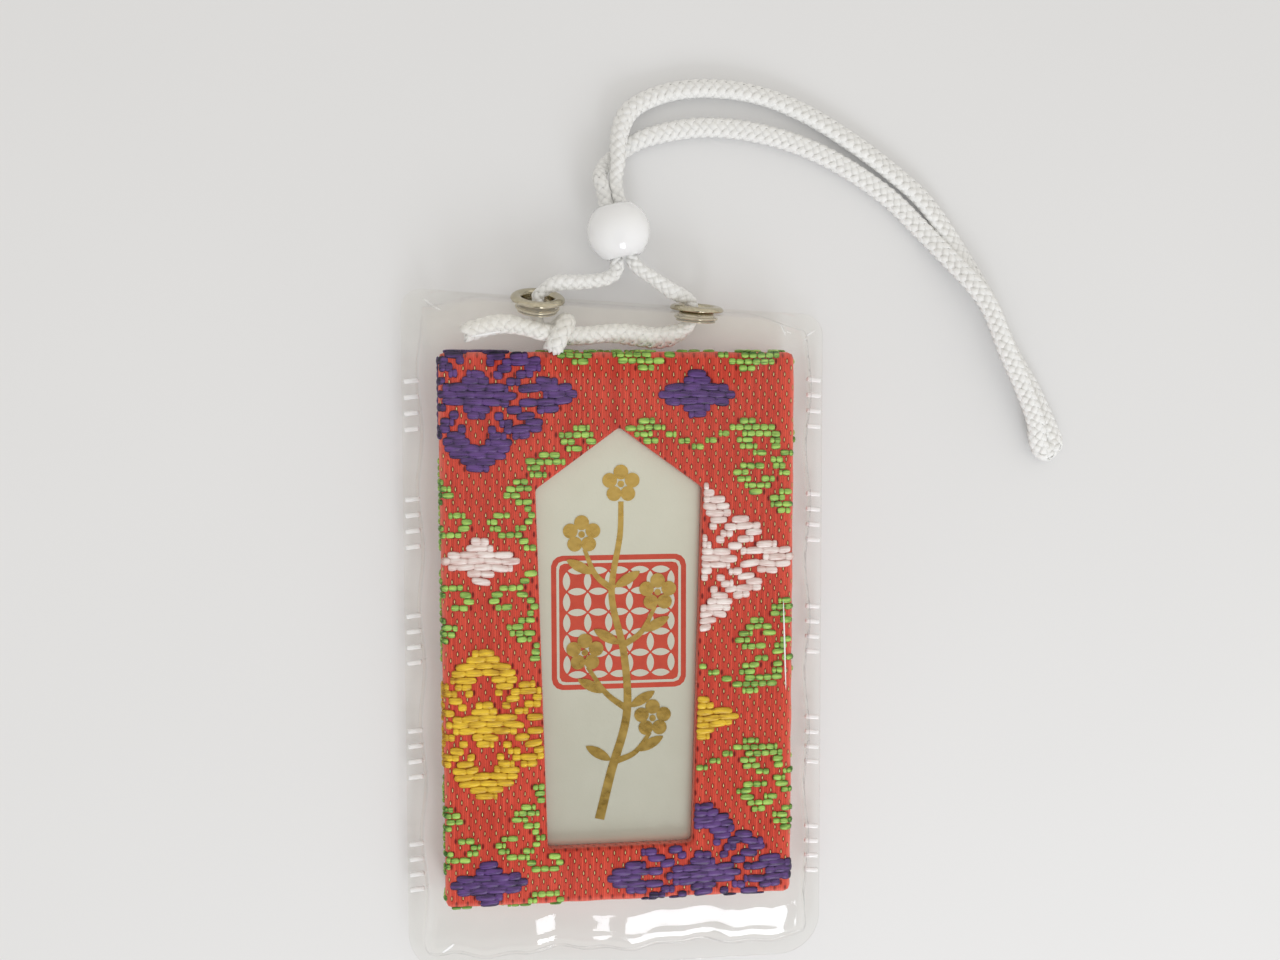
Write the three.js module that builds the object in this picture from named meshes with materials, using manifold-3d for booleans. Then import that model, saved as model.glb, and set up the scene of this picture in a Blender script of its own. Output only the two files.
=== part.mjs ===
// Omamori charm: a brocade-covered tablet sealed in a clear vinyl pouch, with a beaded hanging cord.
// It lies on its back: +X to the right, +Y towards the cord, +Z towards the viewer, in millimetres.
import * as THREE from 'three';
import { mergeVertices } from 'three/addons/utils/BufferGeometryUtils.js';
import Module from 'manifold-3d';

const wasm = await Module();
wasm.setup();

const { lerp, smoothstep, degToRad } = THREE.MathUtils;

// Tablet: a stack of card and cloth, listed from its back to its front
const TABLET_WIDTH = 40;
const TABLET_LENGTH = 63;
const TABLET_CORNER = 0.8;
const TABLET_EDGE_ROUND = 0.6;
const LINING_THICKNESS = 0.4;
const BACKING_THICKNESS = 0.7;
const SLEEVE_THICKNESS = 1.2;
const SLEEVE_WALL = 0.2;
const SLEEVE_MARGIN = 3.5;
const BOARD_THICKNESS = 0.7;
const BOARD_END_MARGIN = 1.5;
const PANEL_THICKNESS = 0.5;
const WINDOW_CARD_THICKNESS = 1.2;
const CLOTH_THICKNESS = 0.5;
const CARD_CLEARANCE = 0.3;

// House-shaped window in the tablet's front
const WINDOW_SILL = 6.3;
const WINDOW_WALL = 41.4;
const WINDOW_GABLE = 6.9;
const WINDOW_SILL_WIDTH = 16.7;
const WINDOW_SHOULDER_WIDTH = 18.9;

// Pouch: one clear film, folded over at the head and welded along the sides and the foot
const FILM = 0.3;
const TABLET_PLAY = 0.3;
const SIDE_ROOM_FOOT = 4.4;
const SIDE_ROOM_HEAD = 4.1;
const FOOT_ROOM = 9.1;
const HEAD_ROOM = 5.74;
const HEAD_SLANT = degToRad(3.4);
const FOOT_CORNER = 5;
const HEAD_CORNER = 2;
const SIDE_WELD = 1.9;
const FOOT_WELD = 2.5;
const WELD_HEIGHT = 1.3;
const SIDE_RAMP = 1.4;
const FOOT_RAMP = 3.2;
const RAMP_LEDGE = 0.8;
const RAMP_STEPS = 4;
const LEAST_CORNER = 0.4;

// Folded head of the pouch, a puffed ridge with a flat face that leans back for the eyelets
const FOLD_LIP = 0.25;
const FOLD_LEAN = degToRad(9);
const FOLD_FACE_TOP = 6.5;
const FOLD_CREST = 7.1;
const FOLD_CREST_INSET = 3.7;
const FOLD_END_INSET = 8.6;
const FOLD_TAPER = 7;

// Eyelets: a flanged barrel through the fold, rolled over a washer on the inside
const EYELET_SPACING = 17.9;
const EYELET_HEIGHT = 3.7;
const EYELET_BORE = 1.75;
const EYELET_WALL = 0.25;
const EYELET_FLANGE = 3.05;
const EYELET_FLANGE_THICKNESS = 0.6;
const EYELET_ROLL = 0.2;
const EYELET_SEAT_GAP = 0.2;
const WASHER_RADIUS = 2.5;
const WASHER_THICKNESS = 0.35;
const ROUND_SEGMENTS = 20;

// Bead and cord
const BEAD_RADIUS = 3.5;
const BEAD_BORE = 2.1;
const BEAD_CENTRE = new THREE.Vector3(0.1, 44.9, BEAD_RADIUS);
const BEAD_TURN = degToRad(11.5);
const CORD_DIAMETER = 1.8;
const CORD_SIDES = 8;
const STRAND_OFFSET = 0.98;
const KNOT_SIZE = new THREE.Vector3(4.2, 2.7, 3.8);
const KNOT_CENTRE = new THREE.Vector3(-6.4, 33.3, 3.7);

// Heights of the stack, counted up from the table
const tabletBack = FILM + TABLET_PLAY;
const backingBack = tabletBack + LINING_THICKNESS;
const sleeveBack = backingBack + BACKING_THICKNESS;
const panelBack = sleeveBack + SLEEVE_THICKNESS;
const windowCardBack = panelBack + PANEL_THICKNESS;
const clothBack = windowCardBack + WINDOW_CARD_THICKNESS;
const tabletFront = clothBack + CLOTH_THICKNESS;
const pouchFront = tabletFront + TABLET_PLAY + FILM;

const colours = {
  film: new THREE.MeshStandardMaterial({ color: 0xf2efee, roughness: 0.12, transparent: true, opacity: 0.25 }),
  metal: new THREE.MeshStandardMaterial({ color: 0xd3cbb2, roughness: 0.3, metalness: 1 }),
  brocade: new THREE.MeshStandardMaterial({ color: 0xc9402f, roughness: 0.7 }),
  lining: new THREE.MeshStandardMaterial({ color: 0xb43428, roughness: 0.8 }),
  card: new THREE.MeshStandardMaterial({ color: 0xd9d2c2, roughness: 0.9 }),
  panel: new THREE.MeshStandardMaterial({ color: 0xcdcdbe, roughness: 0.4, metalness: 0.3 }),
  paper: new THREE.MeshStandardMaterial({ color: 0xf1ece0, roughness: 0.9 }),
  wood: new THREE.MeshStandardMaterial({ color: 0xd8b98a, roughness: 0.6 }),
  bead: new THREE.MeshStandardMaterial({ color: 0xf2f5f7, roughness: 0.15 }),
  cord: new THREE.MeshStandardMaterial({ color: 0xebe9e6, roughness: 0.8 }),
};

function mesh(name, geometry, material) {
  const piece = new THREE.Mesh(geometry, material);
  piece.name = name;
  return piece;
}

// Turns a closed geometry into a solid that can be cut
function solid(geometry) {
  const bare = geometry.index ? geometry.toNonIndexed() : geometry.clone();
  bare.deleteAttribute('normal');
  bare.deleteAttribute('uv');
  const merged = mergeVertices(bare, 1e-4);
  return new wasm.Manifold(new wasm.Mesh({
    numProp: 3,
    vertProperties: new Float32Array(merged.attributes.position.array),
    triVerts: new Uint32Array(merged.index.array),
  }));
}

function cut(geometry, ...tools) {
  const body = tools.reduce((left, tool) => left.subtract(solid(tool)), solid(geometry));
  const result = body.getMesh();
  const out = new THREE.BufferGeometry();
  out.setAttribute('position', new THREE.BufferAttribute(new Float32Array(result.vertProperties), 3));
  out.setIndex(new THREE.BufferAttribute(new Uint32Array(result.triVerts), 1));
  return out;
}

// Moves each edge of a counter-clockwise polygon inwards by its own distance
function insetPolygon(corners, insets) {
  const count = corners.length;
  const edges = corners.map((corner, i) => {
    const along = corners[(i + 1) % count].clone().sub(corner).normalize();
    const inward = new THREE.Vector2(-along.y, along.x);
    return { along, start: corner.clone().addScaledVector(inward, insets[i]) };
  });
  return edges.map((edge, i) => {
    const before = edges[(i + count - 1) % count];
    const across = edge.start.clone().sub(before.start);
    const reach = across.cross(edge.along) / before.along.cross(edge.along);
    return before.start.clone().addScaledVector(before.along, reach);
  });
}

// Tablet outlines
function roundedPlate(width, length, radius) {
  const x = width / 2;
  const y = length / 2;
  const plate = new THREE.Shape();
  plate.moveTo(-x + radius, -y);
  plate.lineTo(x - radius, -y);
  plate.absarc(x - radius, -y + radius, radius, -Math.PI / 2, 0);
  plate.lineTo(x, y - radius);
  plate.absarc(x - radius, y - radius, radius, 0, Math.PI / 2);
  plate.lineTo(-x + radius, y);
  plate.absarc(-x + radius, y - radius, radius, Math.PI / 2, Math.PI);
  plate.lineTo(-x, -y + radius);
  plate.absarc(-x + radius, -y + radius, radius, Math.PI, Math.PI * 1.5);
  return plate;
}

function windowOutline(widening) {
  const sill = WINDOW_SILL - TABLET_LENGTH / 2;
  const shoulder = sill + WINDOW_WALL;
  const corners = [
    new THREE.Vector2(-WINDOW_SILL_WIDTH / 2, sill),
    new THREE.Vector2(WINDOW_SILL_WIDTH / 2, sill),
    new THREE.Vector2(WINDOW_SHOULDER_WIDTH / 2, shoulder),
    new THREE.Vector2(0, shoulder + WINDOW_GABLE),
    new THREE.Vector2(-WINDOW_SHOULDER_WIDTH / 2, shoulder),
  ];
  return new THREE.Path(insetPolygon(corners, corners.map(() => -widening)));
}

function slab(outline, back, thickness) {
  const geometry = new THREE.ExtrudeGeometry(outline, { depth: thickness, bevelEnabled: false, curveSegments: 3 });
  geometry.translate(0, 0, back);
  return geometry;
}

function innerPlate(margin) {
  const radius = Math.max(TABLET_CORNER - margin, LEAST_CORNER);
  return roundedPlate(TABLET_WIDTH - 2 * margin, TABLET_LENGTH - 2 * margin, radius);
}

// The brocade is wrapped round the card block: over its front, round its four edges and into the window
function brocadeCover() {
  const outline = innerPlate(0);
  outline.holes.push(windowOutline(0));
  const thickness = tabletFront - tabletBack;
  const block = new THREE.ExtrudeGeometry(outline, {
    depth: thickness - 2 * TABLET_EDGE_ROUND,
    bevelThickness: TABLET_EDGE_ROUND,
    bevelSize: TABLET_EDGE_ROUND,
    bevelOffset: -TABLET_EDGE_ROUND,
    bevelSegments: 2,
    curveSegments: 3,
  });
  block.translate(0, 0, tabletBack + TABLET_EDGE_ROUND);
  const pocketOutline = innerPlate(CLOTH_THICKNESS);
  pocketOutline.holes.push(windowOutline(CLOTH_THICKNESS));
  const pocketDepth = windowCardBack - tabletBack;
  const cardPocket = slab(pocketOutline, tabletBack, clothBack - tabletBack);
  const lowerPocket = slab(innerPlate(CLOTH_THICKNESS), tabletBack - pocketDepth, 2 * pocketDepth);
  return cut(block, lowerPocket, cardPocket);
}

function windowCard() {
  const outline = innerPlate(CLOTH_THICKNESS + CARD_CLEARANCE);
  outline.holes.push(windowOutline(CLOTH_THICKNESS + CARD_CLEARANCE));
  return slab(outline, windowCardBack, WINDOW_CARD_THICKNESS);
}

function innerSlab(back, thickness) {
  return slab(innerPlate(CLOTH_THICKNESS + CARD_CLEARANCE), back, thickness);
}

// Folded paper sleeve, open at both ends, round a thin board of cypress
const sleeveWidth = TABLET_WIDTH - 2 * SLEEVE_MARGIN;
const sleeveLength = TABLET_LENGTH - 2 * SLEEVE_MARGIN;
const sleeveMiddle = sleeveBack + SLEEVE_THICKNESS / 2;

function prayerSleeve() {
  const outer = new THREE.BoxGeometry(sleeveWidth, sleeveLength, SLEEVE_THICKNESS);
  const hollow = new THREE.BoxGeometry(
    sleeveWidth - 2 * SLEEVE_WALL, sleeveLength + 2 * SLEEVE_WALL, SLEEVE_THICKNESS - 2 * SLEEVE_WALL);
  return cut(outer, hollow).translate(0, 0, sleeveMiddle);
}

function prayerBoard() {
  const width = sleeveWidth - 2 * (SLEEVE_WALL + CARD_CLEARANCE);
  const board = new THREE.BoxGeometry(width, sleeveLength - 2 * BOARD_END_MARGIN, BOARD_THICKNESS);
  return board.translate(0, 0, sleeveBack + SLEEVE_WALL + BOARD_THICKNESS / 2);
}

// Pouch outline: foot edge, right edge, slanted head edge, left edge
const footY = -TABLET_LENGTH / 2 - FOOT_ROOM;
const headY = TABLET_LENGTH / 2 + HEAD_ROOM;
const footHalf = TABLET_WIDTH / 2 + SIDE_ROOM_FOOT;
const headHalf = TABLET_WIDTH / 2 + SIDE_ROOM_HEAD;
const headRise = headHalf * Math.tan(HEAD_SLANT);
const pouchCorners = [
  new THREE.Vector2(-footHalf, footY),
  new THREE.Vector2(footHalf, footY),
  new THREE.Vector2(headHalf, headY - headRise),
  new THREE.Vector2(-headHalf, headY + headRise),
];
const pouchRadii = [FOOT_CORNER, FOOT_CORNER, HEAD_CORNER, HEAD_CORNER];
const HEAD_EDGE = 2;
const EDGE_STEPS = [4, 6, 14, 6];
const CORNER_STEPS = [5, 5, 3, 3];
const headInward = new THREE.Vector2(-Math.sin(HEAD_SLANT), -Math.cos(HEAD_SLANT));

// Walks round a polygon with rounded corners; each point knows its edge and how far that edge's end is
function roundedRing(corners, radii) {
  const count = corners.length;
  const arcs = corners.map((corner, i) => {
    const into = corner.clone().sub(corners[(i + count - 1) % count]).normalize();
    const out = corners[(i + 1) % count].clone().sub(corner).normalize();
    const turn = Math.acos(into.dot(out));
    const inward = new THREE.Vector2(-into.y, into.x);
    const setback = radii[i] * Math.tan(turn / 2);
    const centre = corner.clone().addScaledVector(into, -setback).addScaledVector(inward, radii[i]);
    const first = Math.atan2(-inward.y, -inward.x);
    return Array.from({ length: CORNER_STEPS[i] + 1 }, (_, j) => {
      const angle = first + (turn * j) / CORNER_STEPS[i];
      return new THREE.Vector2(Math.cos(angle), Math.sin(angle)).multiplyScalar(radii[i]).add(centre);
    });
  });
  return arcs.flatMap((arc, i) => {
    const start = arc[arc.length - 1];
    const end = arcs[(i + 1) % count][0];
    const length = start.distanceTo(end);
    const straight = Array.from({ length: EDGE_STEPS[i] - 1 }, (_, j) => {
      const share = (j + 1) / EDGE_STEPS[i];
      const toEnd = Math.min(share, 1 - share) * length;
      return { point: start.clone().lerp(end, share), edge: i, toEnd };
    });
    return [...arc.map((point) => ({ point, edge: -1, toEnd: 0 })), ...straight];
  });
}

// One ring of a film: its side profile all round, swelling into the fold's profile along the head
function filmRing(side, fold) {
  const inset = insetPolygon(pouchCorners, [side.footInset, side.inset, side.inset, side.inset]);
  const radii = pouchRadii.map((radius) => Math.max(radius - side.inset, LEAST_CORNER));
  return roundedRing(inset, radii).map(({ point, edge, toEnd }) => {
    const share = edge === HEAD_EDGE ? smoothstep(toEnd, 0, FOLD_TAPER) : 0;
    const reach = (fold.inset - side.inset) * share;
    const x = point.x + headInward.x * reach;
    const y = point.y + headInward.y * reach;
    return new THREE.Vector3(x, y, lerp(side.height, fold.height, share));
  });
}

// Joins two stacks of rings, the upper and the lower face of a film, into one closed sheet
function filmSheet(upper, lower) {
  const size = upper[0].length;
  const points = [...upper, ...lower].flat();
  const faces = [];
  const quad = (a, b, c, d) => faces.push(a, b, c, a, c, d);
  for (let i = 0; i < size; i += 1) {
    const next = (i + 1) % size;
    const lowerStart = upper.length * size;
    for (let ring = 0; ring + 1 < upper.length; ring += 1) {
      const row = ring * size;
      quad(row + i, row + next, row + size + next, row + size + i);
      const below = lowerStart + row;
      quad(below + i, below + size + i, below + size + next, below + next);
    }
    quad(lowerStart + i, lowerStart + next, next, i);
  }
  [upper.length - 1, points.length / size - 1].forEach((ring, isLower) => {
    const flat = points.slice(ring * size, (ring + 1) * size).map(({ x, y }) => new THREE.Vector2(x, y));
    THREE.ShapeUtils.triangulateShape(flat, []).forEach(([a, b, c]) => {
      const start = ring * size;
      faces.push(start + a, start + (isLower ? c : b), start + (isLower ? b : c));
    });
  });
  const geometry = new THREE.BufferGeometry();
  geometry.setAttribute('position', new THREE.Float32BufferAttribute(points.flatMap((p) => [p.x, p.y, p.z]), 3));
  geometry.setIndex(faces);
  return geometry;
}

// Offsets a film's profile by its thickness: straight down at its edge, and square to the film further in
function thickened(profile, thickness) {
  return profile.map((at, i) => {
    if (i < 2) return { ...at, height: at.height - thickness };
    const before = profile[i - 1];
    const after = profile[Math.min(i + 1, profile.length - 1)];
    const run = after.inset - before.inset;
    const rise = after.height - before.height;
    const scale = thickness / Math.hypot(run, rise);
    const inset = at.inset + rise * scale;
    return { inset, footInset: at.footInset + rise * scale, height: at.height - run * scale };
  });
}

// Weld band, then a quarter-round ramp from the weld to the flat of the pouch
function weldProfile(weldFace, flatFace) {
  const ramp = Array.from({ length: RAMP_STEPS + 1 }, (_, k) => {
    const angle = (k / RAMP_STEPS) * (Math.PI / 2);
    const reach = 1 - Math.cos(angle);
    return {
      inset: SIDE_WELD + SIDE_RAMP * reach,
      footInset: FOOT_WELD + FOOT_RAMP * reach,
      height: lerp(weldFace, flatFace, Math.sin(angle)),
    };
  });
  const last = ramp[RAMP_STEPS];
  const ledge = { inset: last.inset + RAMP_LEDGE, footInset: last.footInset + RAMP_LEDGE, height: flatFace };
  return [{ inset: 0, footInset: 0, height: weldFace }, ...ramp, ledge];
}

// The fold's wall keeps its full thickness down to the back film
const foldFoot = FOLD_LIP + FILM;
const foldFaceInset = (height) => FOLD_LIP + (height - 2 * FILM) * Math.tan(FOLD_LEAN);

function foldProfile() {
  const faceEnd = foldFaceInset(FOLD_FACE_TOP);
  const shoulder = lerp(faceEnd, FOLD_CREST_INSET, 0.4);
  return [
    { inset: 0, height: 2 * FILM },
    { inset: FOLD_LIP, height: 2 * FILM },
    { inset: faceEnd, height: FOLD_FACE_TOP },
    { inset: shoulder, height: lerp(FOLD_FACE_TOP, FOLD_CREST, 0.75) },
    { inset: FOLD_CREST_INSET, height: FOLD_CREST },
    { inset: lerp(FOLD_CREST_INSET, FOLD_END_INSET, 0.55), height: lerp(FOLD_CREST, pouchFront, 0.6) },
    { inset: FOLD_END_INSET, height: pouchFront },
  ];
}

function frontFilm() {
  const side = weldProfile(WELD_HEIGHT + FILM, pouchFront);
  const fold = foldProfile();
  const innerSide = thickened(side, FILM);
  const innerFold = thickened(fold, FILM);
  innerFold[1].inset = foldFoot;
  const outer = side.map((ring, i) => filmRing(ring, fold[i]));
  const inner = innerSide.map((ring, i) => filmRing(ring, innerFold[i]));
  return filmSheet(outer, inner);
}

function backFilm() {
  const side = weldProfile(WELD_HEIGHT - FILM, 0);
  const flat = foldProfile().map(({ inset }) => ({ inset, height: 0 }));
  const innerSide = thickened(side, -FILM);
  const innerFlat = flat.map(({ inset }) => ({ inset, height: FILM }));
  innerFlat[1].inset = foldFoot;
  const outer = side.map((ring, i) => filmRing(ring, flat[i]));
  const inner = innerSide.map((ring, i) => filmRing(ring, innerFlat[i]));
  return filmSheet(inner, outer);
}

// Eyelet parts are turned on +Y, with height 0 at the film's outer face
const barrelRadius = EYELET_BORE + EYELET_WALL;
const washerTop = -FILM - EYELET_SEAT_GAP / 2;
const washerFoot = washerTop - WASHER_THICKNESS;

function turned(profile) {
  const closed = [...profile, profile[0]].map(([radius, height]) => new THREE.Vector2(radius, height));
  return new THREE.LatheGeometry(closed, ROUND_SEGMENTS);
}

function eyelet() {
  const seat = EYELET_SEAT_GAP;
  const crown = seat + EYELET_FLANGE_THICKNESS;
  const rollTop = washerFoot - EYELET_SEAT_GAP / 2;
  const rollFoot = rollTop - EYELET_ROLL;
  const rollRadius = barrelRadius + EYELET_ROLL;
  return turned([
    [EYELET_BORE, rollFoot + EYELET_ROLL / 2],
    [lerp(EYELET_BORE, barrelRadius, 0.8), rollFoot],
    [rollRadius, rollFoot],
    [rollRadius, rollTop],
    [barrelRadius, rollTop],
    [barrelRadius, seat],
    [EYELET_FLANGE, seat],
    [EYELET_FLANGE, lerp(seat, crown, 0.5)],
    [lerp(EYELET_FLANGE, EYELET_BORE, 0.2), lerp(seat, crown, 0.9)],
    [lerp(EYELET_FLANGE, EYELET_BORE, 0.5), crown],
    [lerp(EYELET_FLANGE, EYELET_BORE, 0.85), lerp(seat, crown, 0.8)],
    [EYELET_BORE, lerp(seat, crown, 0.3)],
  ]);
}

function washer() {
  const bore = barrelRadius + EYELET_SEAT_GAP / 2;
  return turned([[bore, washerFoot], [WASHER_RADIUS, washerFoot], [WASHER_RADIUS, washerTop], [bore, washerTop]]);
}

// The group stands on the middle of the fold's flat face, with +Y square to the face and +X along it
function onFoldFace(...pieces) {
  const inset = foldFaceInset(EYELET_HEIGHT);
  const lean = new THREE.Group();
  lean.rotation.x = FOLD_LEAN;
  lean.add(...pieces);
  const slant = new THREE.Group();
  slant.position.set(headInward.x * inset, headY + headInward.y * inset, EYELET_HEIGHT);
  slant.rotation.z = -HEAD_SLANT;
  slant.add(lean);
  slant.updateMatrixWorld(true);
  return slant;
}

const eyeletSides = { left: -EYELET_SPACING / 2, right: EYELET_SPACING / 2 };

function eyeletHoleTools() {
  const reach = 4 * FILM + 2 * EYELET_SEAT_GAP;
  const tools = Object.values(eyeletSides).map((x) => {
    const tool = new THREE.Mesh(new THREE.CylinderGeometry(
      barrelRadius + EYELET_SEAT_GAP, barrelRadius + EYELET_SEAT_GAP, reach, ROUND_SEGMENTS));
    tool.position.x = x;
    return tool;
  });
  onFoldFace(...tools);
  return tools.map((tool) => tool.geometry.applyMatrix4(tool.matrixWorld));
}

// Cord routes, listed by hand from the left eyelet round to the right one
const beadAlong = new THREE.Vector3(-Math.sin(BEAD_TURN), Math.cos(BEAD_TURN), 0);
const beadAcross = new THREE.Vector3(Math.cos(BEAD_TURN), Math.sin(BEAD_TURN), 0);

function strand(side, along) {
  const point = BEAD_CENTRE.clone().addScaledVector(beadAcross, side * STRAND_OFFSET);
  return point.addScaledVector(beadAlong, along).toArray();
}

const TABLE_REST = 0.97;
const leftLegRoute = [
  [-8.93, 37.45, 3.77],
  [-8.86, 37.8, 3.83],
  [-8.35, 38.25, 3.95],
  [-7.6, 38.8, 4.1],
  [-6.4, 39.15, 4.2],
  [-4.6, 39.2, 4.2],
  [-2.9, 39.35, 4],
  [-1.2, 39.7, 3.8],
  [-0.25, 40.4, 3.6],
  strand(-1, -3.5),
];
const loopRoute = [
  strand(-1, -3),
  strand(-1, 2),
  strand(-1, 5.2),
  [-1.95, 50.7, 3.05],
  [-1.2, 52.4, 1.4],
  [0.6, 53.9, TABLE_REST],
  [2.9, 55.4, TABLE_REST],
  [9.6, 56.9, TABLE_REST],
  [16.6, 56.4, TABLE_REST],
  [24, 54.1, TABLE_REST],
  [31.5, 49.7, TABLE_REST],
  [36.2, 45.4, 1.2],
  [38.9, 42.55, 1.85],
  [41.6, 39.6, 2.6],
  [43.65, 36.95, 2.75],
  [46.15, 31.4, 2.75],
  [48.1, 27.6, 2.5],
  [50, 23.3, 2.1],
  [50.55, 21, 1.6],
  [51.6, 19.55, 1.2],
  [52.85, 20.6, 1],
  [52.1, 22.6, TABLE_REST],
  [49.55, 27.6, TABLE_REST],
  [47.15, 31.45, TABLE_REST],
  [44.4, 37, TABLE_REST],
  [40.9, 42.6, TABLE_REST],
  [36.2, 48.95, TABLE_REST],
  [32.2, 52.3, TABLE_REST],
  [27.6, 55.5, TABLE_REST],
  [21.5, 58.9, TABLE_REST],
  [15.5, 60.85, TABLE_REST],
  [9, 61.2, TABLE_REST],
  [4.5, 60.2, TABLE_REST],
  [1.4, 58.2, 1.65],
  [0.25, 55.2, 2.6],
  [0.1, 52.6, 3.3],
  strand(1, 5.2),
  strand(1, 2),
  strand(1, -3),
];
const rightLegRoute = [
  strand(1, -3.5),
  [2.4, 40.75, 3.7],
  [3.6, 39.95, 3.9],
  [4.95, 39, 4.1],
  [6.3, 38.15, 4.25],
  [7.35, 37.7, 4.2],
  [8.15, 37.15, 4],
  [8.36, 36.78, 3.86],
  [8.4, 36.45, 3.78],
];
const leftTailRoute = [
  [-8.95, 37.13, 3.72],
  [-9, 36, 3.5],
  [-9.05, 35, 3.2],
  [-9.05, 34.4, 3.05],
  [-9, 34.1, 3.05],
];
const rightTailRoute = [
  [8.42, 36.12, 3.73],
  [8.4, 35.1, 3.45],
  [7.6, 34.1, 3.1],
  [5.8, 33.25, 3],
  [4, 33.1, 3.1],
  [2.3, 33.3, 3.3],
  [-0.5, 33.6, 3.5],
  [-4, 33.3, 3.7],
];
const cutEndRoute = [
  [-8.7, 33.7, 5],
  [-10.5, 34.2, 5.1],
  [-12.7, 34.55, 5],
  [-14.8, 34.25, 4.8],
  [-17, 33.55, 4.5],
];

function cordTube(route, steps) {
  const radius = CORD_DIAMETER / 2;
  const section = new THREE.Shape(Array.from({ length: CORD_SIDES }, (_, i) => {
    const angle = ((i + 0.5) / CORD_SIDES) * 2 * Math.PI;
    return new THREE.Vector2(Math.cos(angle) * radius, Math.sin(angle) * radius);
  }));
  const curve = new THREE.CatmullRomCurve3(route.map((point) => new THREE.Vector3(...point)));
  return new THREE.ExtrudeGeometry(section, { steps, extrudePath: curve });
}

// The cord's two ends are tied together inside the pouch, in a knot too thick for the eyelets
function cordKnot() {
  const knot = new THREE.SphereGeometry(0.5, 14, 10);
  knot.scale(KNOT_SIZE.x, KNOT_SIZE.y, KNOT_SIZE.z);
  return knot.translate(...KNOT_CENTRE.toArray());
}

function bead() {
  const mouth = Math.acos(BEAD_BORE / BEAD_RADIUS);
  const steps = 10;
  const profile = Array.from({ length: steps + 1 }, (_, i) => {
    const angle = lerp(-mouth, mouth, i / steps);
    return [BEAD_RADIUS * Math.cos(angle), BEAD_RADIUS * Math.sin(angle)];
  });
  const ball = mesh('bead', turned(profile), colours.bead);
  ball.position.copy(BEAD_CENTRE);
  ball.rotation.z = BEAD_TURN;
  return ball;
}

// Assembly
const pouch = new THREE.Group();
pouch.add(
  mesh('pouch_front_film', cut(frontFilm(), ...eyeletHoleTools()), colours.film),
  mesh('pouch_back_film', backFilm(), colours.film),
);
Object.entries(eyeletSides).forEach(([side, x]) => {
  const barrel = mesh(`${side}_eyelet`, eyelet(), colours.metal);
  const ring = mesh(`${side}_eyelet_washer`, washer(), colours.metal);
  barrel.position.x = x;
  ring.position.x = x;
  pouch.add(onFoldFace(barrel, ring));
});

const tablet = new THREE.Group();
tablet.add(
  mesh('brocade_cover', brocadeCover(), colours.brocade),
  mesh('window_card', windowCard(), colours.card),
  mesh('display_panel', innerSlab(panelBack, PANEL_THICKNESS), colours.panel),
  mesh('prayer_sleeve', prayerSleeve(), colours.paper),
  mesh('prayer_board', prayerBoard(), colours.wood),
  mesh('backing_card', innerSlab(backingBack, BACKING_THICKNESS), colours.card),
  mesh('back_lining', innerSlab(tabletBack, LINING_THICKNESS), colours.lining),
);

const cord = new THREE.Group();
cord.add(
  mesh('cord_left_leg', cordTube(leftLegRoute, 9), colours.cord),
  mesh('cord_right_leg', cordTube(rightLegRoute, 9), colours.cord),
  mesh('cord_loop', cordTube(loopRoute, 75), colours.cord),
  mesh('cord_left_tail', cordTube(leftTailRoute, 4), colours.cord),
  mesh('cord_right_tail', cordTube(rightTailRoute, 14), colours.cord),
  mesh('cord_knot', cordKnot(), colours.cord),
  mesh('cord_cut_end', cordTube(cutEndRoute, 5), colours.cord),
  bead(),
);

// The origin is under the middle of the pouch, on the table
const rigidBox = new THREE.Box3().setFromObject(pouch, true);
const middle = rigidBox.getCenter(new THREE.Vector3());
const charm = new THREE.Group();
charm.add(pouch, tablet, cord);
charm.position.set(-middle.x, -middle.y, -rigidBox.min.z);

export default charm;
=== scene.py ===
import math

import bmesh
import bpy
from mathutils import Matrix, Vector, noise


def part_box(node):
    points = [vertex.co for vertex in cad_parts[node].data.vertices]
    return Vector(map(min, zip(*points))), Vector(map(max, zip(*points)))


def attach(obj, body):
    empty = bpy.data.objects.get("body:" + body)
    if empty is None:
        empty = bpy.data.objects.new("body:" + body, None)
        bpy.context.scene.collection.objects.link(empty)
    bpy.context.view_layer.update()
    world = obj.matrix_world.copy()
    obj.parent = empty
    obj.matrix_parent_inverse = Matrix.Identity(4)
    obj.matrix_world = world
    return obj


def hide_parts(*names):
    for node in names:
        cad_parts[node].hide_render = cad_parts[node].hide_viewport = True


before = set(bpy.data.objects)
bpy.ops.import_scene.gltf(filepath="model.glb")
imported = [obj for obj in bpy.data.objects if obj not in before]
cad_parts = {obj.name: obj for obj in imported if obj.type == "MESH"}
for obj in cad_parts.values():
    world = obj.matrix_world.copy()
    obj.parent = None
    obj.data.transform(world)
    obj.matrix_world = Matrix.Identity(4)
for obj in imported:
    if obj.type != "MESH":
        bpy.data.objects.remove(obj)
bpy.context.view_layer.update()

# Camera: it stands above the charm, a little to the left of its middle and towards the cord.
# Places in this script are in millimetres, counted from the middle of the tablet and up from the table.
MM = 0.001
tablet_low, tablet_high = (Vector(corner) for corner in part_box("brocade_cover"))
tablet_middle = (tablet_low + tablet_high) / 2
CAMERA_PLACE = (-15.99, 29.70, 150.86)
CAMERA_TURN = (-0.08493, -0.12480, -0.00164)
CAMERA_VIEW = math.radians(52)


def place(x, y, z):
    return Vector((tablet_middle.x + x * MM, tablet_middle.y + y * MM, z * MM))


def link(name, data):
    made = bpy.data.objects.new(name, data)
    bpy.context.scene.collection.objects.link(made)
    return made


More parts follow.
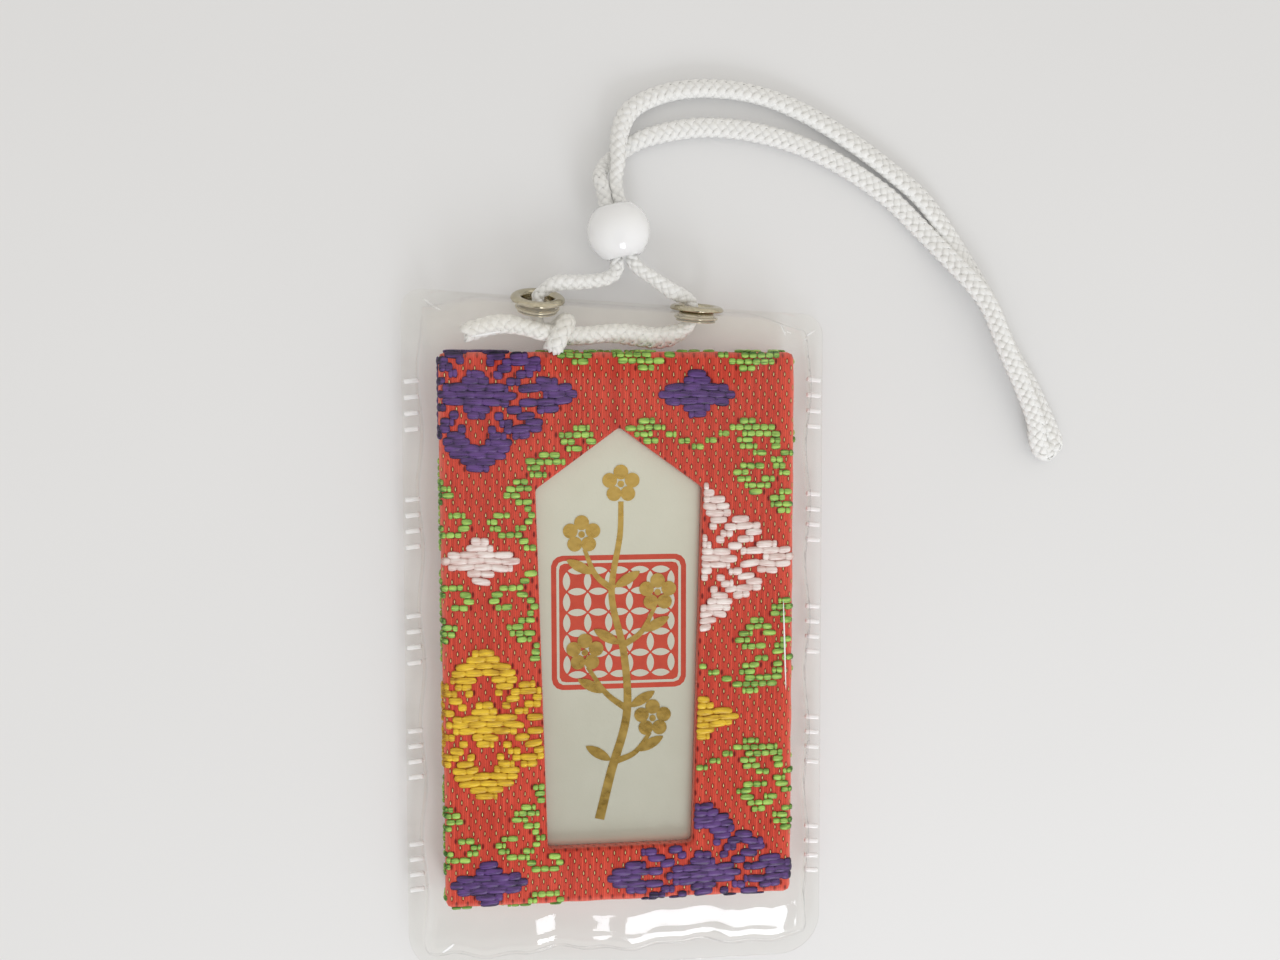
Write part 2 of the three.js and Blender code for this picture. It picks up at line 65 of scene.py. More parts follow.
lens = bpy.data.cameras.new("camera")
lens.sensor_fit = "HORIZONTAL"
lens.angle = CAMERA_VIEW
lens.clip_start = 10 * MM
camera = link("camera", lens)
camera.location = place(*CAMERA_PLACE)
camera.rotation_euler = CAMERA_TURN
bpy.context.scene.camera = camera

# Prayer board and its sleeve: a sliver of planed cypress in a folded white paper, shut inside the tablet.
# Neither shows from outside, so the frame's own solids are given their finishes.
PULP_LENGTH = 2
RING_SPACING = 1.2


def linear(hex_colour):
    channels = [int(hex_colour[i:i + 2], 16) / 255 for i in (1, 3, 5)]
    return [c / 12.92 if c <= 0.04045 else ((c + 0.055) / 1.055) ** 2.4 for c in channels] + [1.0]


def feed(made, node, sockets):
    for socket, value in sockets.items():
        if isinstance(value, bpy.types.NodeSocket):
            made.node_tree.links.new(value, node.inputs[socket])
        else:
            node.inputs[socket].default_value = value


def finish_of(name, sockets):
    """A new material and its shader, with the sockets that are the same all over the surface."""
    made = bpy.data.materials.new(name)
    made.use_nodes = True
    shader = made.node_tree.nodes["Principled BSDF"]
    feed(made, shader, sockets)
    return made, shader


def add(made, kind, sockets, output=0, **settings):
    """Adds a node with its settings and links, and gives back one of its outputs."""
    node = made.node_tree.nodes.new("ShaderNode" + kind)
    for setting, value in settings.items():
        setattr(node, setting, value)
    feed(made, node, sockets)
    return node.outputs[output]


def dress(node, finish):
    """Gives a node of the frame its material."""
    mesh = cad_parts[node].data
    mesh.materials.clear()
    mesh.materials.append(finish)


# Handmade paper: soft and matt, with long pulp fibres about 2 mm long.
paper, paper_shader = finish_of("handmade_paper_white", {"Roughness": 0.95})
paper_object = add(paper, "TexCoord", {}, output="Object")
paper_pulp = add(paper, "TexNoise", {"Vector": paper_object, "Scale": 1 / (PULP_LENGTH * MM), "Detail": 6.0})
paper_tone = add(paper, "ValToRGB", {"Fac": paper_pulp})
paper_tone.node.color_ramp.elements[0].color = linear("#e6dfcf")
paper_tone.node.color_ramp.elements[1].color = linear("#f7f3ea")
paper_bump = add(paper, "Bump", {"Height": paper_pulp, "Strength": 0.3, "Distance": 0.05 * MM})
feed(paper, paper_shader, {"Base Color": paper_tone, "Normal": paper_bump})
dress("prayer_sleeve", paper)

# Planed cypress: pale straw, with straight growth rings about 1.2 mm apart along the board.
cypress, cypress_shader = finish_of("planed_cypress", {"Roughness": 0.55})
wood_object = add(cypress, "TexCoord", {}, output="Object")
wood_rings = add(cypress, "TexWave", {"Vector": wood_object, "Scale": math.pi / (10 * RING_SPACING * MM),
                                      "Distortion": 1.5, "Detail": 2.0}, output="Fac")
wood_tone = add(cypress, "ValToRGB", {"Fac": wood_rings})
wood_tone.node.color_ramp.elements[0].color = linear("#cfa873")
wood_tone.node.color_ramp.elements[1].color = linear("#e6cb9f")
wood_bump = add(cypress, "Bump", {"Height": wood_rings, "Strength": 0.2, "Distance": 0.05 * MM})
feed(cypress, cypress_shader, {"Base Color": wood_tone, "Normal": wood_bump})
dress("prayer_board", cypress)

# Display panel: a card faced with pale silver paper, seen through the window.
# The paper is metal-dusted: a satin grey-green silver, mottled over a few millimetres.
silver_paper, silver_shader = finish_of("silver_dusted_paper", {"Metallic": 0.6})
silver_object = add(silver_paper, "TexCoord", {}, output="Object")
silver_mottle = add(silver_paper, "TexNoise", {"Vector": silver_object, "Scale": 1 / (4 * MM), "Detail": 3.0})
silver_grain = add(silver_paper, "TexNoise", {
    "Vector": silver_object, "Scale": 1 / (0.25 * MM), "Detail": 2.0})
silver_tone = add(silver_paper, "ValToRGB", {"Fac": silver_mottle})
silver_tone.node.color_ramp.elements[0].color = linear("#dcdccc")
silver_tone.node.color_ramp.elements[1].color = linear("#e4e4d6")
silver_rough = add(silver_paper, "MapRange", {"Value": silver_grain, "To Min": 0.27, "To Max": 0.36})
silver_bump = add(silver_paper, "Bump", {"Height": silver_grain, "Strength": 0.2, "Distance": 0.03 * MM})
feed(silver_paper, silver_shader, {
    "Base Color": silver_tone, "Roughness": silver_rough, "Normal": silver_bump})
dress("display_panel", silver_paper)
PANEL_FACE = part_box("display_panel")[1][2] / MM

# Seal: a red print on the panel, a rounded square with a lattice of interlocking circles left bare in it.
# Each petal of the lattice is where two circles overlap.
SEAL_MIDDLE = (0.05, 0.75)
SEAL_HALF = 7.75
SEAL_CORNER = 1.3
SEAL_BORDER = 0.6
SEAL_LINE = 0.3
SEAL_CELLS = 5
SEAL_CELL = 2.4
SEAL_PETAL_HALF_WIDTH = 0.42
SEAL_PETAL_GAP = 0.16
INK_THICKNESS = 0.012
SEAL_LINE_CORNERS = (0.8, 0.6)
SEAL_POINTS = 96
CORNER_STEPS = 8
PETAL_POINTS = 20
PETAL_SHARPNESS = 0.6


def clamp(value, low=0.0, high=1.0):
    return max(low, min(high, value))


def raise_faces(bm, faces, thickness):
    """Gives flat faces a thickness, upward."""
    raised = bmesh.ops.extrude_face_region(bm, geom=faces)
    top = [item for item in raised["geom"] if isinstance(item, bmesh.types.BMVert)]
    bmesh.ops.translate(bm, verts=top, vec=(0, 0, thickness * MM))


def stamp(bm, outline, segments, base, thickness):
    """A thin plate whose edge is outline(angle), in millimetres."""
    disc = bmesh.ops.create_circle(bm, cap_ends=True, segments=segments, radius=1)
    for vert in disc["verts"]:
        x, y = outline(math.atan2(vert.co.y, vert.co.x))
        vert.co = place(x, y, base)
    raise_faces(bm, disc["verts"][0].link_faces[:], thickness)


def pointed(middle, turn, half_length, half_width):
    """The edge of a petal or leaf with a point at each end."""
    def edge(angle):
        along = math.cos(angle) * half_length
        across = math.sin(angle) * abs(math.sin(angle)) ** PETAL_SHARPNESS * half_width
        x = middle[0] + along * math.cos(turn) - across * math.sin(turn)
        y = middle[1] + along * math.sin(turn) + across * math.cos(turn)
        return x, y
    return edge


def rounded_outline(corners, radius, count):
    """Even points round a convex outline with rounded corners, each with its outward direction."""
    walk = []
    total = len(corners)
    for i, corner in enumerate(corners):
        corner = Vector(corner)
        into = (corner - Vector(corners[i - 1])).normalized()
        out = (Vector(corners[(i + 1) % total]) - corner).normalized()
        turn = math.acos(clamp(into.dot(out), -1, 1))
        setback = radius * math.tan(turn / 2)
        centre = corner - into * setback + Vector((-into.y, into.x)) * radius
        first = math.atan2(-into.x, into.y)
        for j in range(CORNER_STEPS + 1):
            angle = first + turn * j / CORNER_STEPS
            outward = Vector((math.cos(angle), math.sin(angle)))
            walk.append((centre + outward * radius, outward))
    walk.append(walk[0])
    lengths = [0.0]
    for (a, _), (b, _) in zip(walk, walk[1:]):
        lengths.append(lengths[-1] + (b - a).length)
    points = []
    at = 0
    for i in range(count):
        wanted = lengths[-1] * i / count
        while lengths[at + 1] <= wanted:
            at += 1
        share = (wanted - lengths[at]) / (lengths[at + 1] - lengths[at])
        outward = walk[at][1].lerp(walk[at + 1][1], share).normalized()
        points.append((walk[at][0].lerp(walk[at + 1][0], share), outward))
    return points


def ring(bm, points):
    """A closed loop of edges through the given points."""
    loop = bmesh.ops.create_circle(bm, cap_ends=False, segments=len(points), radius=1)
    verts = sorted(loop["verts"], key=lambda v: math.atan2(v.co.y, v.co.x))
    for vert, point in zip(verts, points):
        vert.co = place(*point)
    return verts, list({edge for vert in verts for edge in vert.link_edges})


def square_ring(bm, half, corner, z):
    corners = [(-half, -half), (half, -half), (half, half), (-half, half)]
    outline = rounded_outline(corners, corner, SEAL_POINTS)
    return ring(bm, [(p.x + SEAL_MIDDLE[0], p.y + SEAL_MIDDLE[1], z) for p, _ in outline])[1]


def piece(name, bm, finish, body, smooth=True):
    """Turns a finished bmesh into an object that rides on a body."""
    bmesh.ops.recalc_face_normals(bm, faces=bm.faces)
    mesh = bpy.data.meshes.new(name)
    bm.to_mesh(mesh)
    bm.free()
    mesh.polygons.foreach_set("use_smooth", [smooth] * len(mesh.polygons))
    mesh.materials.append(finish)
    made = link(name, mesh)
    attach(made, body)
    return made


# Printed vermilion ink: flat and slightly chalky, thinner in small patches about 1 mm wide.
seal_ink, seal_shader = finish_of("vermilion_print", {"Roughness": 0.6})
seal_object = add(seal_ink, "TexCoord", {}, output="Object")
seal_patch = add(seal_ink, "TexNoise", {"Vector": seal_object, "Scale": 1 / (1 * MM), "Detail": 4.0})
seal_tone = add(seal_ink, "ValToRGB", {"Fac": seal_patch})
seal_tone.node.color_ramp.elements[0].color = linear("#b8351f")
seal_tone.node.color_ramp.elements[1].color = linear("#d04d32")
feed(seal_ink, seal_shader, {"Base Color": seal_tone})

bm = bmesh.new()
plate = bmesh.ops.contextual_create(bm, geom=square_ring(bm, SEAL_HALF, SEAL_CORNER, PANEL_FACE))
raise_faces(bm, plate["faces"], INK_THICKNESS)
piece("seal_print", bm, seal_ink, "tablet", smooth=False)

# Seal lattice: the paper left bare inside the red, a thin square line and the petals between the circles.
# It is drawn as thin plates in the paper's own finish, laid on the red.
bm = bmesh.new()
bare_base = PANEL_FACE + INK_THICKNESS
line_edges = []
for inset, corner in zip((SEAL_BORDER, SEAL_BORDER + SEAL_LINE), SEAL_LINE_CORNERS):
    line_edges += square_ring(bm, SEAL_HALF - inset, corner, bare_base)
raise_faces(bm, bmesh.ops.bridge_loops(bm, edges=line_edges)["faces"], INK_THICKNESS)
lattice_half = SEAL_CELLS * SEAL_CELL / 2
for line in range(SEAL_CELLS + 1):
    for cell in range(SEAL_CELLS):
        across = line * SEAL_CELL - lattice_half
        along = (cell + 0.5) * SEAL_CELL - lattice_half
        for middle, turn in (((along, across), 0), ((across, along), math.pi / 2)):
            spot = (SEAL_MIDDLE[0] + middle[0], SEAL_MIDDLE[1] + middle[1])
            petal = pointed(spot, turn, SEAL_CELL / 2 - SEAL_PETAL_GAP, SEAL_PETAL_HALF_WIDTH)
            stamp(bm, petal, PETAL_POINTS, bare_base, INK_THICKNESS)
piece("seal_lattice", bm, silver_paper, "tablet", smooth=False)

# Foil ornament: a flowering branch stamped on the panel in gold foil, from the sill to under the gable.
# The foil lies on the paper and over the seal.
FOIL_BASE = PANEL_FACE + 2 * INK_THICKNESS
FOIL_THICKNESS = 0.03
FOIL_LAP = 0.012
BRANCH = [(-2.3, -22.3), (-1.0, -17), (0.9, -10), (0.6, -3), (-0.8, 4), (0.2, 11), (0.3, 14.6)]
TWIGS = [
    [(-0.6, -15.6), (1.8, -14.6), (3.6, -12.3)],
    [(0.9, -9.4), (-1.4, -7.6), (-3.6, -4.4)],
    [(0.4, -2), (2.5, -0.6), (4.2, 2.4)],
    [(-0.8, 4.6), (-2.6, 6.2), (-3.9, 9.2)],
]
TWIG_SIDES = (1, -1, 1, -1)
BRANCH_HALF_WIDTHS = (0.55, 0.3)
TWIG_HALF_WIDTHS = (0.38, 0.22)
PETALS = 5
PETAL_REACH = 1.35
PETAL_RADIUS = 0.85
BLOSSOM_EYE = 0.38
EYE_POINTS = 14
TIP_BLOSSOM_UP = 2
TWIG_BLOSSOM_SHIFT = (0.3, 1.7)
LEAF_HALF_LENGTH = 1.7
LEAF_HALF_WIDTH = 0.6
LEAF_REACH = 2.1
# The point of each twig that a leaf grows from, and the leaf's lean.
LEAF_LEANS = ((1, 0.5), (0, 2.6))
STROKE_STEP = 0.4


def lerp(start, end, share):
    return start + (end - start) * share


def curve_through(points, step):
    """Even points along a centripetal spline through the given ones."""
    knots = [Vector(p) for p in points]
    knots = [2 * knots[0] - knots[1], *knots, 2 * knots[-1] - knots[-2]]
    dense = [knots[1]]
    for before, start, end, after in zip(knots, knots[1:], knots[2:], knots[3:]):
        first, span, last = ((b - a).length ** 0.5 for a, b in ((before, start), (start, end), (end, after)))
        leave = ((start - before) / first - (end - before) / (first + span) + (end - start) / span) * span
        arrive = ((end - start) / span - (after - start) / (span + last) + (after - end) / last) * span
        pieces = max(4, math.ceil((end - start).length / (step / 4)))
        for i in range(1, pieces + 1):
            t = i / pieces
            dense.append(start * (1 + 2 * t) * (1 - t) ** 2 + leave * t * (1 - t) ** 2
                         + end * t * t * (3 - 2 * t) + arrive * t * t * (t - 1))
    lengths = [0.0]
    for a, b in zip(dense, dense[1:]):
        lengths.append(lengths[-1] + (b - a).length)
    count = round(lengths[-1] / step)
    even = []
    at = 0
    for i in range(count + 1):
        wanted = lengths[-1] * i / count
        while at + 2 < len(lengths) and lengths[at + 1] < wanted:
            at += 1
        share = (wanted - lengths[at]) / (lengths[at + 1] - lengths[at])
        even.append(dense[at].lerp(dense[at + 1], clamp(share)))
    return even, lengths[-1]


def mapped_grid(bm, columns, rows, position, uv=None):
    """Adds a grid and moves its corners to position(u, v), with u and v from 0 to 1."""
    before = set(bm.faces)
    grid = bmesh.ops.create_grid(bm, x_segments=columns, y_segments=rows, size=0.5)
    shares = {}
    for vert in grid["verts"]:
        shares[vert] = (round((vert.co.x + 0.5) * columns) / columns, round((vert.co.y + 0.5) * rows) / rows)
        vert.co = position(*shares[vert])
    faces = [face for face in bm.faces if face not in before]
    if uv:
        layer = bm.loops.layers.uv.verify()
        for face in faces:
            for loop in face.loops:
                loop[layer].uv = uv(*shares[loop.vert])
    return grid["verts"], faces


def stroke(bm, points, half_widths, base):
    """A flat strip along a curve, tapering from its first half-width to its second."""
    middle, _ = curve_through([(x, y, 0) for x, y in points], STROKE_STEP)
    last = len(middle) - 1

    def edge(u, v):
        i = round(u * last)
        run = (middle[min(i + 1, last)] - middle[max(i - 1, 0)]).normalized()
        out = (v - 0.5) * 2 * lerp(*half_widths, u)
        return place(middle[i].x - run.y * out, middle[i].y + run.x * out, base)

    _, faces = mapped_grid(bm, last, 1, edge)
    raise_faces(bm, faces, FOIL_THICKNESS)


def dot(x, y, radius):
    """The edge of a round petal or eye."""
    return lambda angle: (x + radius * math.cos(angle), y + radius * math.sin(angle))


def blossom(bm, x, y, base):
    for k in range(PETALS):
        angle = math.pi / 2 + k * 2 * math.pi / PETALS
        petal = dot(x + PETAL_REACH * math.cos(angle), y + PETAL_REACH * math.sin(angle), PETAL_RADIUS)
        stamp(bm, petal, PETAL_POINTS, base + k * FOIL_LAP / (PETALS - 1), FOIL_THICKNESS)
    stamp(bm, dot(x, y, BLOSSOM_EYE), EYE_POINTS, base, FOIL_THICKNESS)


# Hot-stamped gold foil: a satin yellow metal, worn a little dull in patches about 1.2 mm wide.
gold_foil, gold_shader = finish_of("hot_stamped_gold_foil", {"Metallic": 1.0})
gold_object = add(gold_foil, "TexCoord", {}, output="Object")
gold_wear = add(gold_foil, "TexNoise", {"Vector": gold_object, "Scale": 1 / (1.2 * MM), "Detail": 2.0})
gold_tone = add(gold_foil, "ValToRGB", {"Fac": gold_wear})
gold_tone.node.color_ramp.elements[0].color = linear("#b8923f")
gold_tone.node.color_ramp.elements[1].color = linear("#e2c272")
gold_rough = add(gold_foil, "MapRange", {"Value": gold_wear, "To Min": 0.18, "To Max": 0.4})
gold_bump = add(gold_foil, "Bump", {"Height": gold_wear, "Strength": 0.8, "Distance": 0.06 * MM})
feed(gold_foil, gold_shader, {"Base Color": gold_tone, "Roughness": gold_rough, "Normal": gold_bump})

bm = bmesh.new()
stroke(bm, BRANCH, BRANCH_HALF_WIDTHS, FOIL_BASE)
blossom(bm, BRANCH[-1][0], BRANCH[-1][1] + TIP_BLOSSOM_UP, FOIL_BASE + 3 * FOIL_LAP)
for twig, side in zip(TWIGS, TWIG_SIDES):
    stroke(bm, twig, TWIG_HALF_WIDTHS, FOIL_BASE + FOIL_LAP)
    shift = (TWIG_BLOSSOM_SHIFT[0] * side, TWIG_BLOSSOM_SHIFT[1])
    blossom(bm, twig[-1][0] + shift[0], twig[-1][1] + shift[1], FOIL_BASE + 3 * FOIL_LAP)
    for point, lean in LEAF_LEANS:
        leaf_turn = math.pi / 2 + side * (lean - math.pi / 2)
        leaf_middle = Vector(twig[point]) + LEAF_REACH * Vector((math.cos(leaf_turn), math.sin(leaf_turn)))
        leaf = pointed(leaf_middle, leaf_turn, LEAF_HALF_LENGTH, LEAF_HALF_WIDTH)
        stamp(bm, leaf, PETAL_POINTS, FOIL_BASE + 2 * FOIL_LAP, FOIL_THICKNESS)
piece("foil_ornament", bm, gold_foil, "tablet", smooth=False)

# Card block: a backing card, and a window card with the house-shaped opening, both die-cut greyboard.
# They are pasted together round the sleeve and the panel, and the brocade is stretched over them.
# Greyboard is matt pulp: pale grey-buff, flecked with darker fibres about 0.6 mm long.
greyboard, greyboard_shader = finish_of("die_cut_greyboard", {"Roughness": 0.92})
board_object = add(greyboard, "TexCoord", {}, output="Object")
board_fleck = add(greyboard, "TexNoise", {"Vector": board_object, "Scale": 1 / (0.6 * MM), "Detail": 4.0})
board_tone = add(greyboard, "ValToRGB", {"Fac": board_fleck})
board_tone.node.color_ramp.elements[0].position = 0.3
board_tone.node.color_ramp.elements[0].color = linear("#b3aa98")
board_tone.node.color_ramp.elements[1].color = linear("#dcd5c6")
board_bump = add(greyboard, "Bump", {"Height": board_fleck, "Strength": 0.3, "Distance": 0.05 * MM})
feed(greyboard, greyboard_shader, {"Base Color": board_tone, "Normal": board_bump})
dress("backing_card", greyboard)
dress("window_card", greyboard)

# Brocade: a red satin with a flower and arabesque pattern, stretched over the card and round its edges.
# The ground is red warp, five threads to a repeat, and the pattern is floats of coloured weft lying on it.
TABLET_HALF_WIDTH = 20
TABLET_HALF_LENGTH = 31.5
TABLET_CORNER = 0.8
CLOTH_FACE = tablet_high.z / MM
CLOTH_FOOT = tablet_low.z / MM
FRONT_ROUND = 0.65
BACK_ROUND = 0.6
BACK_TURN_IN = 0.15
WINDOW_SILL = -25.2
WINDOW_SHOULDER = 16.2
WINDOW_APEX = 23.1
WINDOW_SILL_HALF = 8.35
WINDOW_SHOULDER_HALF = 9.45
WINDOW_CORNER = 0.5
WINDOW_ROUND = 0.35
OUTLINE_POINTS = 320
FRONT_CUTS = 8
EDGE_WAVER = 0.1
EDGE_WAVER_RATE = 0.35
EDGE_WAVER_SEED = 3.7
WINDOW_TURN_CLEAR = 0.05
CLOTH_THICKNESS = 0.25
WARP_PITCH = 0.254
TICK_PITCH = 1.27
TICK_STEP = 0.4
# The dip in the warp round each tick, which is also darkened as painted shade.
PINCH_SHADE_HALF_WIDTH = 0.17
PINCH_SHADE_HALF_LENGTH = 0.38
# Where the painted highlight on the turned-over rim starts and ends, across the tablet's edge.
RIM_HIGHLIGHT_REACH = (-0.75, 0.1)
WEFT_PITCH = 0.74
FIRST_ROW_Y = 26.75
cloth_uv = {}


def quarter(steps):
    return [math.pi / 2 * i / steps for i in range(steps + 1)]


def chain(bm, rings):
    """Joins rings of (point, cloth coordinate) pairs, each extruded from the one before."""
    edges = None
    for points in rings:
        if edges is None:
            verts, edges = ring(bm, [point for point, _ in points])
        else:
            step = bmesh.ops.extrude_edge_only(bm, edges=edges)
            new = {item for item in step["geom"] if isinstance(item, bmesh.types.BMVert)}
            edges = [item for item in step["geom"] if isinstance(item, bmesh.types.BMEdge)
                     and item.verts[0] in new and item.verts[1] in new]
            verts = [next(e.other_vert(v) for e in v.link_edges if e.other_vert(v) in new) for v in verts]
            for vert, (point, _) in zip(verts, points):
                vert.co = place(*point)
        for vert, (_, flat) in zip(verts, points):
            cloth_uv[vert] = flat


def shifted(outline, shift, height, run):
    """A ring beside an outline, and where its points lie when the cloth is spread flat."""
    return [((p.x + n.x * shift, p.y + n.y * shift, height), (p.x + n.x * run, p.y + n.y * run))
            for p, n in outline]


tablet_corners = [
    (across * TABLET_HALF_WIDTH, along * TABLET_HALF_LENGTH)
    for across, along in ((-1, -1), (1, -1), (1, 1), (-1, 1))]
tablet_outline = []
for p, n in rounded_outline(tablet_corners, TABLET_CORNER, OUTLINE_POINTS):
    chance = noise.noise(Vector((p.x * EDGE_WAVER_RATE, p.y * EDGE_WAVER_RATE, EDGE_WAVER_SEED)))
    tablet_outline.append((p + n * EDGE_WAVER * chance, n))
window_corners = [
    (-WINDOW_SILL_HALF, WINDOW_SILL), (WINDOW_SILL_HALF, WINDOW_SILL),
    (WINDOW_SHOULDER_HALF, WINDOW_SHOULDER), (0, WINDOW_APEX), (-WINDOW_SHOULDER_HALF, WINDOW_SHOULDER)]
window_outline = rounded_outline(window_corners, WINDOW_CORNER, OUTLINE_POINTS)
outer_profile = [
    (-FRONT_ROUND * (1 - math.sin(a)), CLOTH_FACE - FRONT_ROUND * (1 - math.cos(a)), FRONT_ROUND * (a - 1))
    for a in quarter(5)]
side_run = outer_profile[-1][2] + CLOTH_FACE - FRONT_ROUND - CLOTH_FOOT - BACK_ROUND
outer_profile += [
    (-BACK_ROUND * (1 - math.cos(a)), CLOTH_FOOT + BACK_ROUND * (1 - math.sin(a)), side_run + BACK_ROUND * a)
    for a in quarter(3)]
outer_profile.append((-BACK_ROUND - BACK_TURN_IN, CLOTH_FOOT, outer_profile[-1][2] + BACK_TURN_IN))
window_profile = [
    (WINDOW_ROUND * (1 - math.sin(a)), CLOTH_FACE - WINDOW_ROUND * (1 - math.cos(a)), WINDOW_ROUND * (1 - a))
    for a in quarter(3)]
window_profile.append((0, PANEL_FACE + WINDOW_TURN_CLEAR, PANEL_FACE - CLOTH_FACE))

window_rings = [shifted(window_outline, *spot) for spot in reversed(window_profile)]
outer_rings = [shifted(tablet_outline, *spot) for spot in outer_profile]
front_rings = [
    [(tuple(lerp(a, b, cut / FRONT_CUTS) for a, b in zip(inner, outer)),
      tuple(lerp(a, b, cut / FRONT_CUTS) for a, b in zip(inner_flat, outer_flat)))
     for (inner, inner_flat), (outer, outer_flat) in zip(window_rings[-1], outer_rings[0])]
    for cut in range(1, FRONT_CUTS)]
bm = bmesh.new()
chain(bm, window_rings + front_rings + outer_rings)
cloth_layer = bm.loops.layers.uv.verify()
for face in bm.faces:
    for loop in face.loops:
        loop[cloth_layer].uv = cloth_uv[loop.vert]

# Satin of filament polyester, dyed scarlet: warp ribs 0.25 mm wide with painted shade between them, a silky
# sheen along them, a dip in the warp, darkened by painted shade, round each place where the weft shows, and a
# painted highlight on the rim where it turns over.
satin_red, satin_shader = finish_of("scarlet_satin_warp", {
    "Roughness": 0.55, "Specular IOR Level": 0.25, "Sheen Weight": 0.9, "Sheen Roughness": 0.4,
    "Sheen Tint": linear("#ffa898")})
satin_uv = add(satin_red, "UVMap", {})
satin_x = add(satin_red, "SeparateXYZ", {"Vector": satin_uv}, output="X")
satin_y = add(satin_red, "SeparateXYZ", {"Vector": satin_uv}, output="Y")
thread = add(satin_red, "Math", {0: satin_x, 1: WARP_PITCH}, operation="DIVIDE")
thread_number = add(satin_red, "Math", {0: thread}, operation="FLOOR")
thread_chance = add(satin_red, "TexWhiteNoise", {"W": thread_number}, output="Value", noise_dimensions="1D")
thread_phase = add(satin_red, "Math", {0: thread, 1: math.pi}, operation="MULTIPLY")
thread_wave = add(satin_red, "Math", {0: thread_phase}, operation="SINE")
thread_round = add(satin_red, "Math", {0: thread_wave}, operation="ABSOLUTE")
weft_row = add(satin_red, "MapRange", {
    "Value": satin_y, "From Min": FIRST_ROW_Y, "From Max": FIRST_ROW_Y - WEFT_PITCH,
    "To Min": 0.0, "To Max": 1.0}, clamp=False)
row_number = add(satin_red, "Math", {0: weft_row}, operation="ROUND")
row_offset = add(satin_red, "Math", {0: row_number, 1: TICK_STEP}, operation="MULTIPLY")
tick_column = add(satin_red, "Math", {0: satin_x, 1: TICK_PITCH}, operation="DIVIDE")
tick_phase = add(satin_red, "Math", {0: tick_column, 1: row_offset}, operation="SUBTRACT")
tick_across = add(satin_red, "Math", {0: tick_phase, 1: 0.5}, operation="PINGPONG")
tick_along = add(satin_red, "Math", {0: weft_row, 1: 0.5}, operation="PINGPONG")
tick_x = add(satin_red, "Math", {0: tick_across, 1: TICK_PITCH / PINCH_SHADE_HALF_WIDTH}, operation="MULTIPLY")
tick_y = add(satin_red, "Math", {0: tick_along, 1: WEFT_PITCH / PINCH_SHADE_HALF_LENGTH}, operation="MULTIPLY")
tick_far = add(satin_red, "Math", {0: tick_x, 1: tick_x, 2: add(
    satin_red, "Math", {0: tick_y, 1: tick_y}, operation="MULTIPLY")}, operation="MULTIPLY_ADD")
tick_pinch_and_shade = add(satin_red, "MapRange", {"Value": tick_far, "From Min": 0.2, "From Max": 1.3,
                                         "To Min": 0.0, "To Max": 1.0})
satin_patch = add(satin_red, "TexNoise", {"Vector": satin_uv, "Scale": 0.35, "Detail": 3.0})
satin_mix = add(satin_red, "Math", {0: thread_chance, 1: 0.5, 2: add(
    satin_red, "Math", {0: satin_patch, 1: 0.5}, operation="MULTIPLY")}, operation="MULTIPLY_ADD")
satin_tone = add(satin_red, "ValToRGB", {"Fac": satin_mix})
satin_tone.node.color_ramp.elements[0].color = linear("#b82c1e")
satin_tone.node.color_ramp.elements[1].color = linear("#f45c46")
# Painted shade: the warp is coloured darker round each tick, where its dip lies in shade; the same mask also
# dips the bump.
satin_shade = add(satin_red, "ValToRGB", {"Fac": tick_pinch_and_shade})
satin_shade.node.color_ramp.elements[0].color = linear("#8f4a42")
satin_shade.node.color_ramp.elements[1].color = linear("#ffffff")
# Painted shade: the satin is coloured darker in the grooves between the warp threads.
thread_shade = add(satin_red, "MapRange", {"Value": thread_round, "To Min": 0.7, "To Max": 1.0})
satin_threads = add(satin_red, "Mix", {"Factor": 1.0, 6: satin_tone, 7: thread_shade}, output=2,
                    data_type="RGBA", blend_type="MULTIPLY")
satin_colour = add(satin_red, "Mix", {"Factor": 1.0, 6: satin_threads, 7: satin_shade}, output=2,
                   data_type="RGBA", blend_type="MULTIPLY")
# Painted highlight: the cloth is coloured paler pink where it turns over the tablet's edges, standing in for
# the light those edges catch.
satin_over_x = add(satin_red, "Math", {0: add(satin_red, "Math", {0: satin_x}, operation="ABSOLUTE"),
                                       1: TABLET_HALF_WIDTH}, operation="SUBTRACT")
satin_over_y = add(satin_red, "Math", {0: add(satin_red, "Math", {0: satin_y}, operation="ABSOLUTE"),
                                       1: TABLET_HALF_LENGTH}, operation="SUBTRACT")
satin_over = add(satin_red, "Math", {0: satin_over_x, 1: satin_over_y}, operation="MAXIMUM")
satin_rim_highlight = add(satin_red, "MapRange", {
    "Value": satin_over, "From Min": RIM_HIGHLIGHT_REACH[0], "From Max": RIM_HIGHLIGHT_REACH[1], "To Max": 0.5})
satin_colour = add(satin_red, "Mix", {"Factor": satin_rim_highlight, 6: satin_colour, 7: linear("#ff9080")}, output=2,
                   data_type="RGBA")
satin_height = add(satin_red, "Math", {0: thread_round, 1: 0.4, 2: tick_pinch_and_shade}, operation="MULTIPLY_ADD")
satin_bump = add(satin_red, "Bump", {"Height": satin_height, "Strength": 0.7, "Distance": 0.08 * MM})
feed(satin_red, satin_shader, {"Base Color": satin_colour, "Normal": satin_bump})

brocade = piece("brocade_ground", bm, satin_red, "tablet")
cloth_wall = brocade.modifiers.new("cloth", "SOLIDIFY")
cloth_wall.thickness = CLOTH_THICKNESS * MM
cloth_wall.offset = -1
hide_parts("brocade_cover")

# Pattern wefts: thick floats of silk that the loom lays over the warp and ties down every millimetre or two.
# Flowers stand in two drops, large over small, with an arabesque of green round each small one.
FLOWER_COLUMNS = (-15.9, 8.75)
COLUMN_PITCH = FLOWER_COLUMNS[1] - FLOWER_COLUMNS[0]
CLOTH_LEAN = 0.015
ROWS_BETWEEN = 25
FLOWER_COLOURS = ("purple", "white", "yellow")
DROPS = range(-1, 5)
COLUMNS = range(-1, 3)
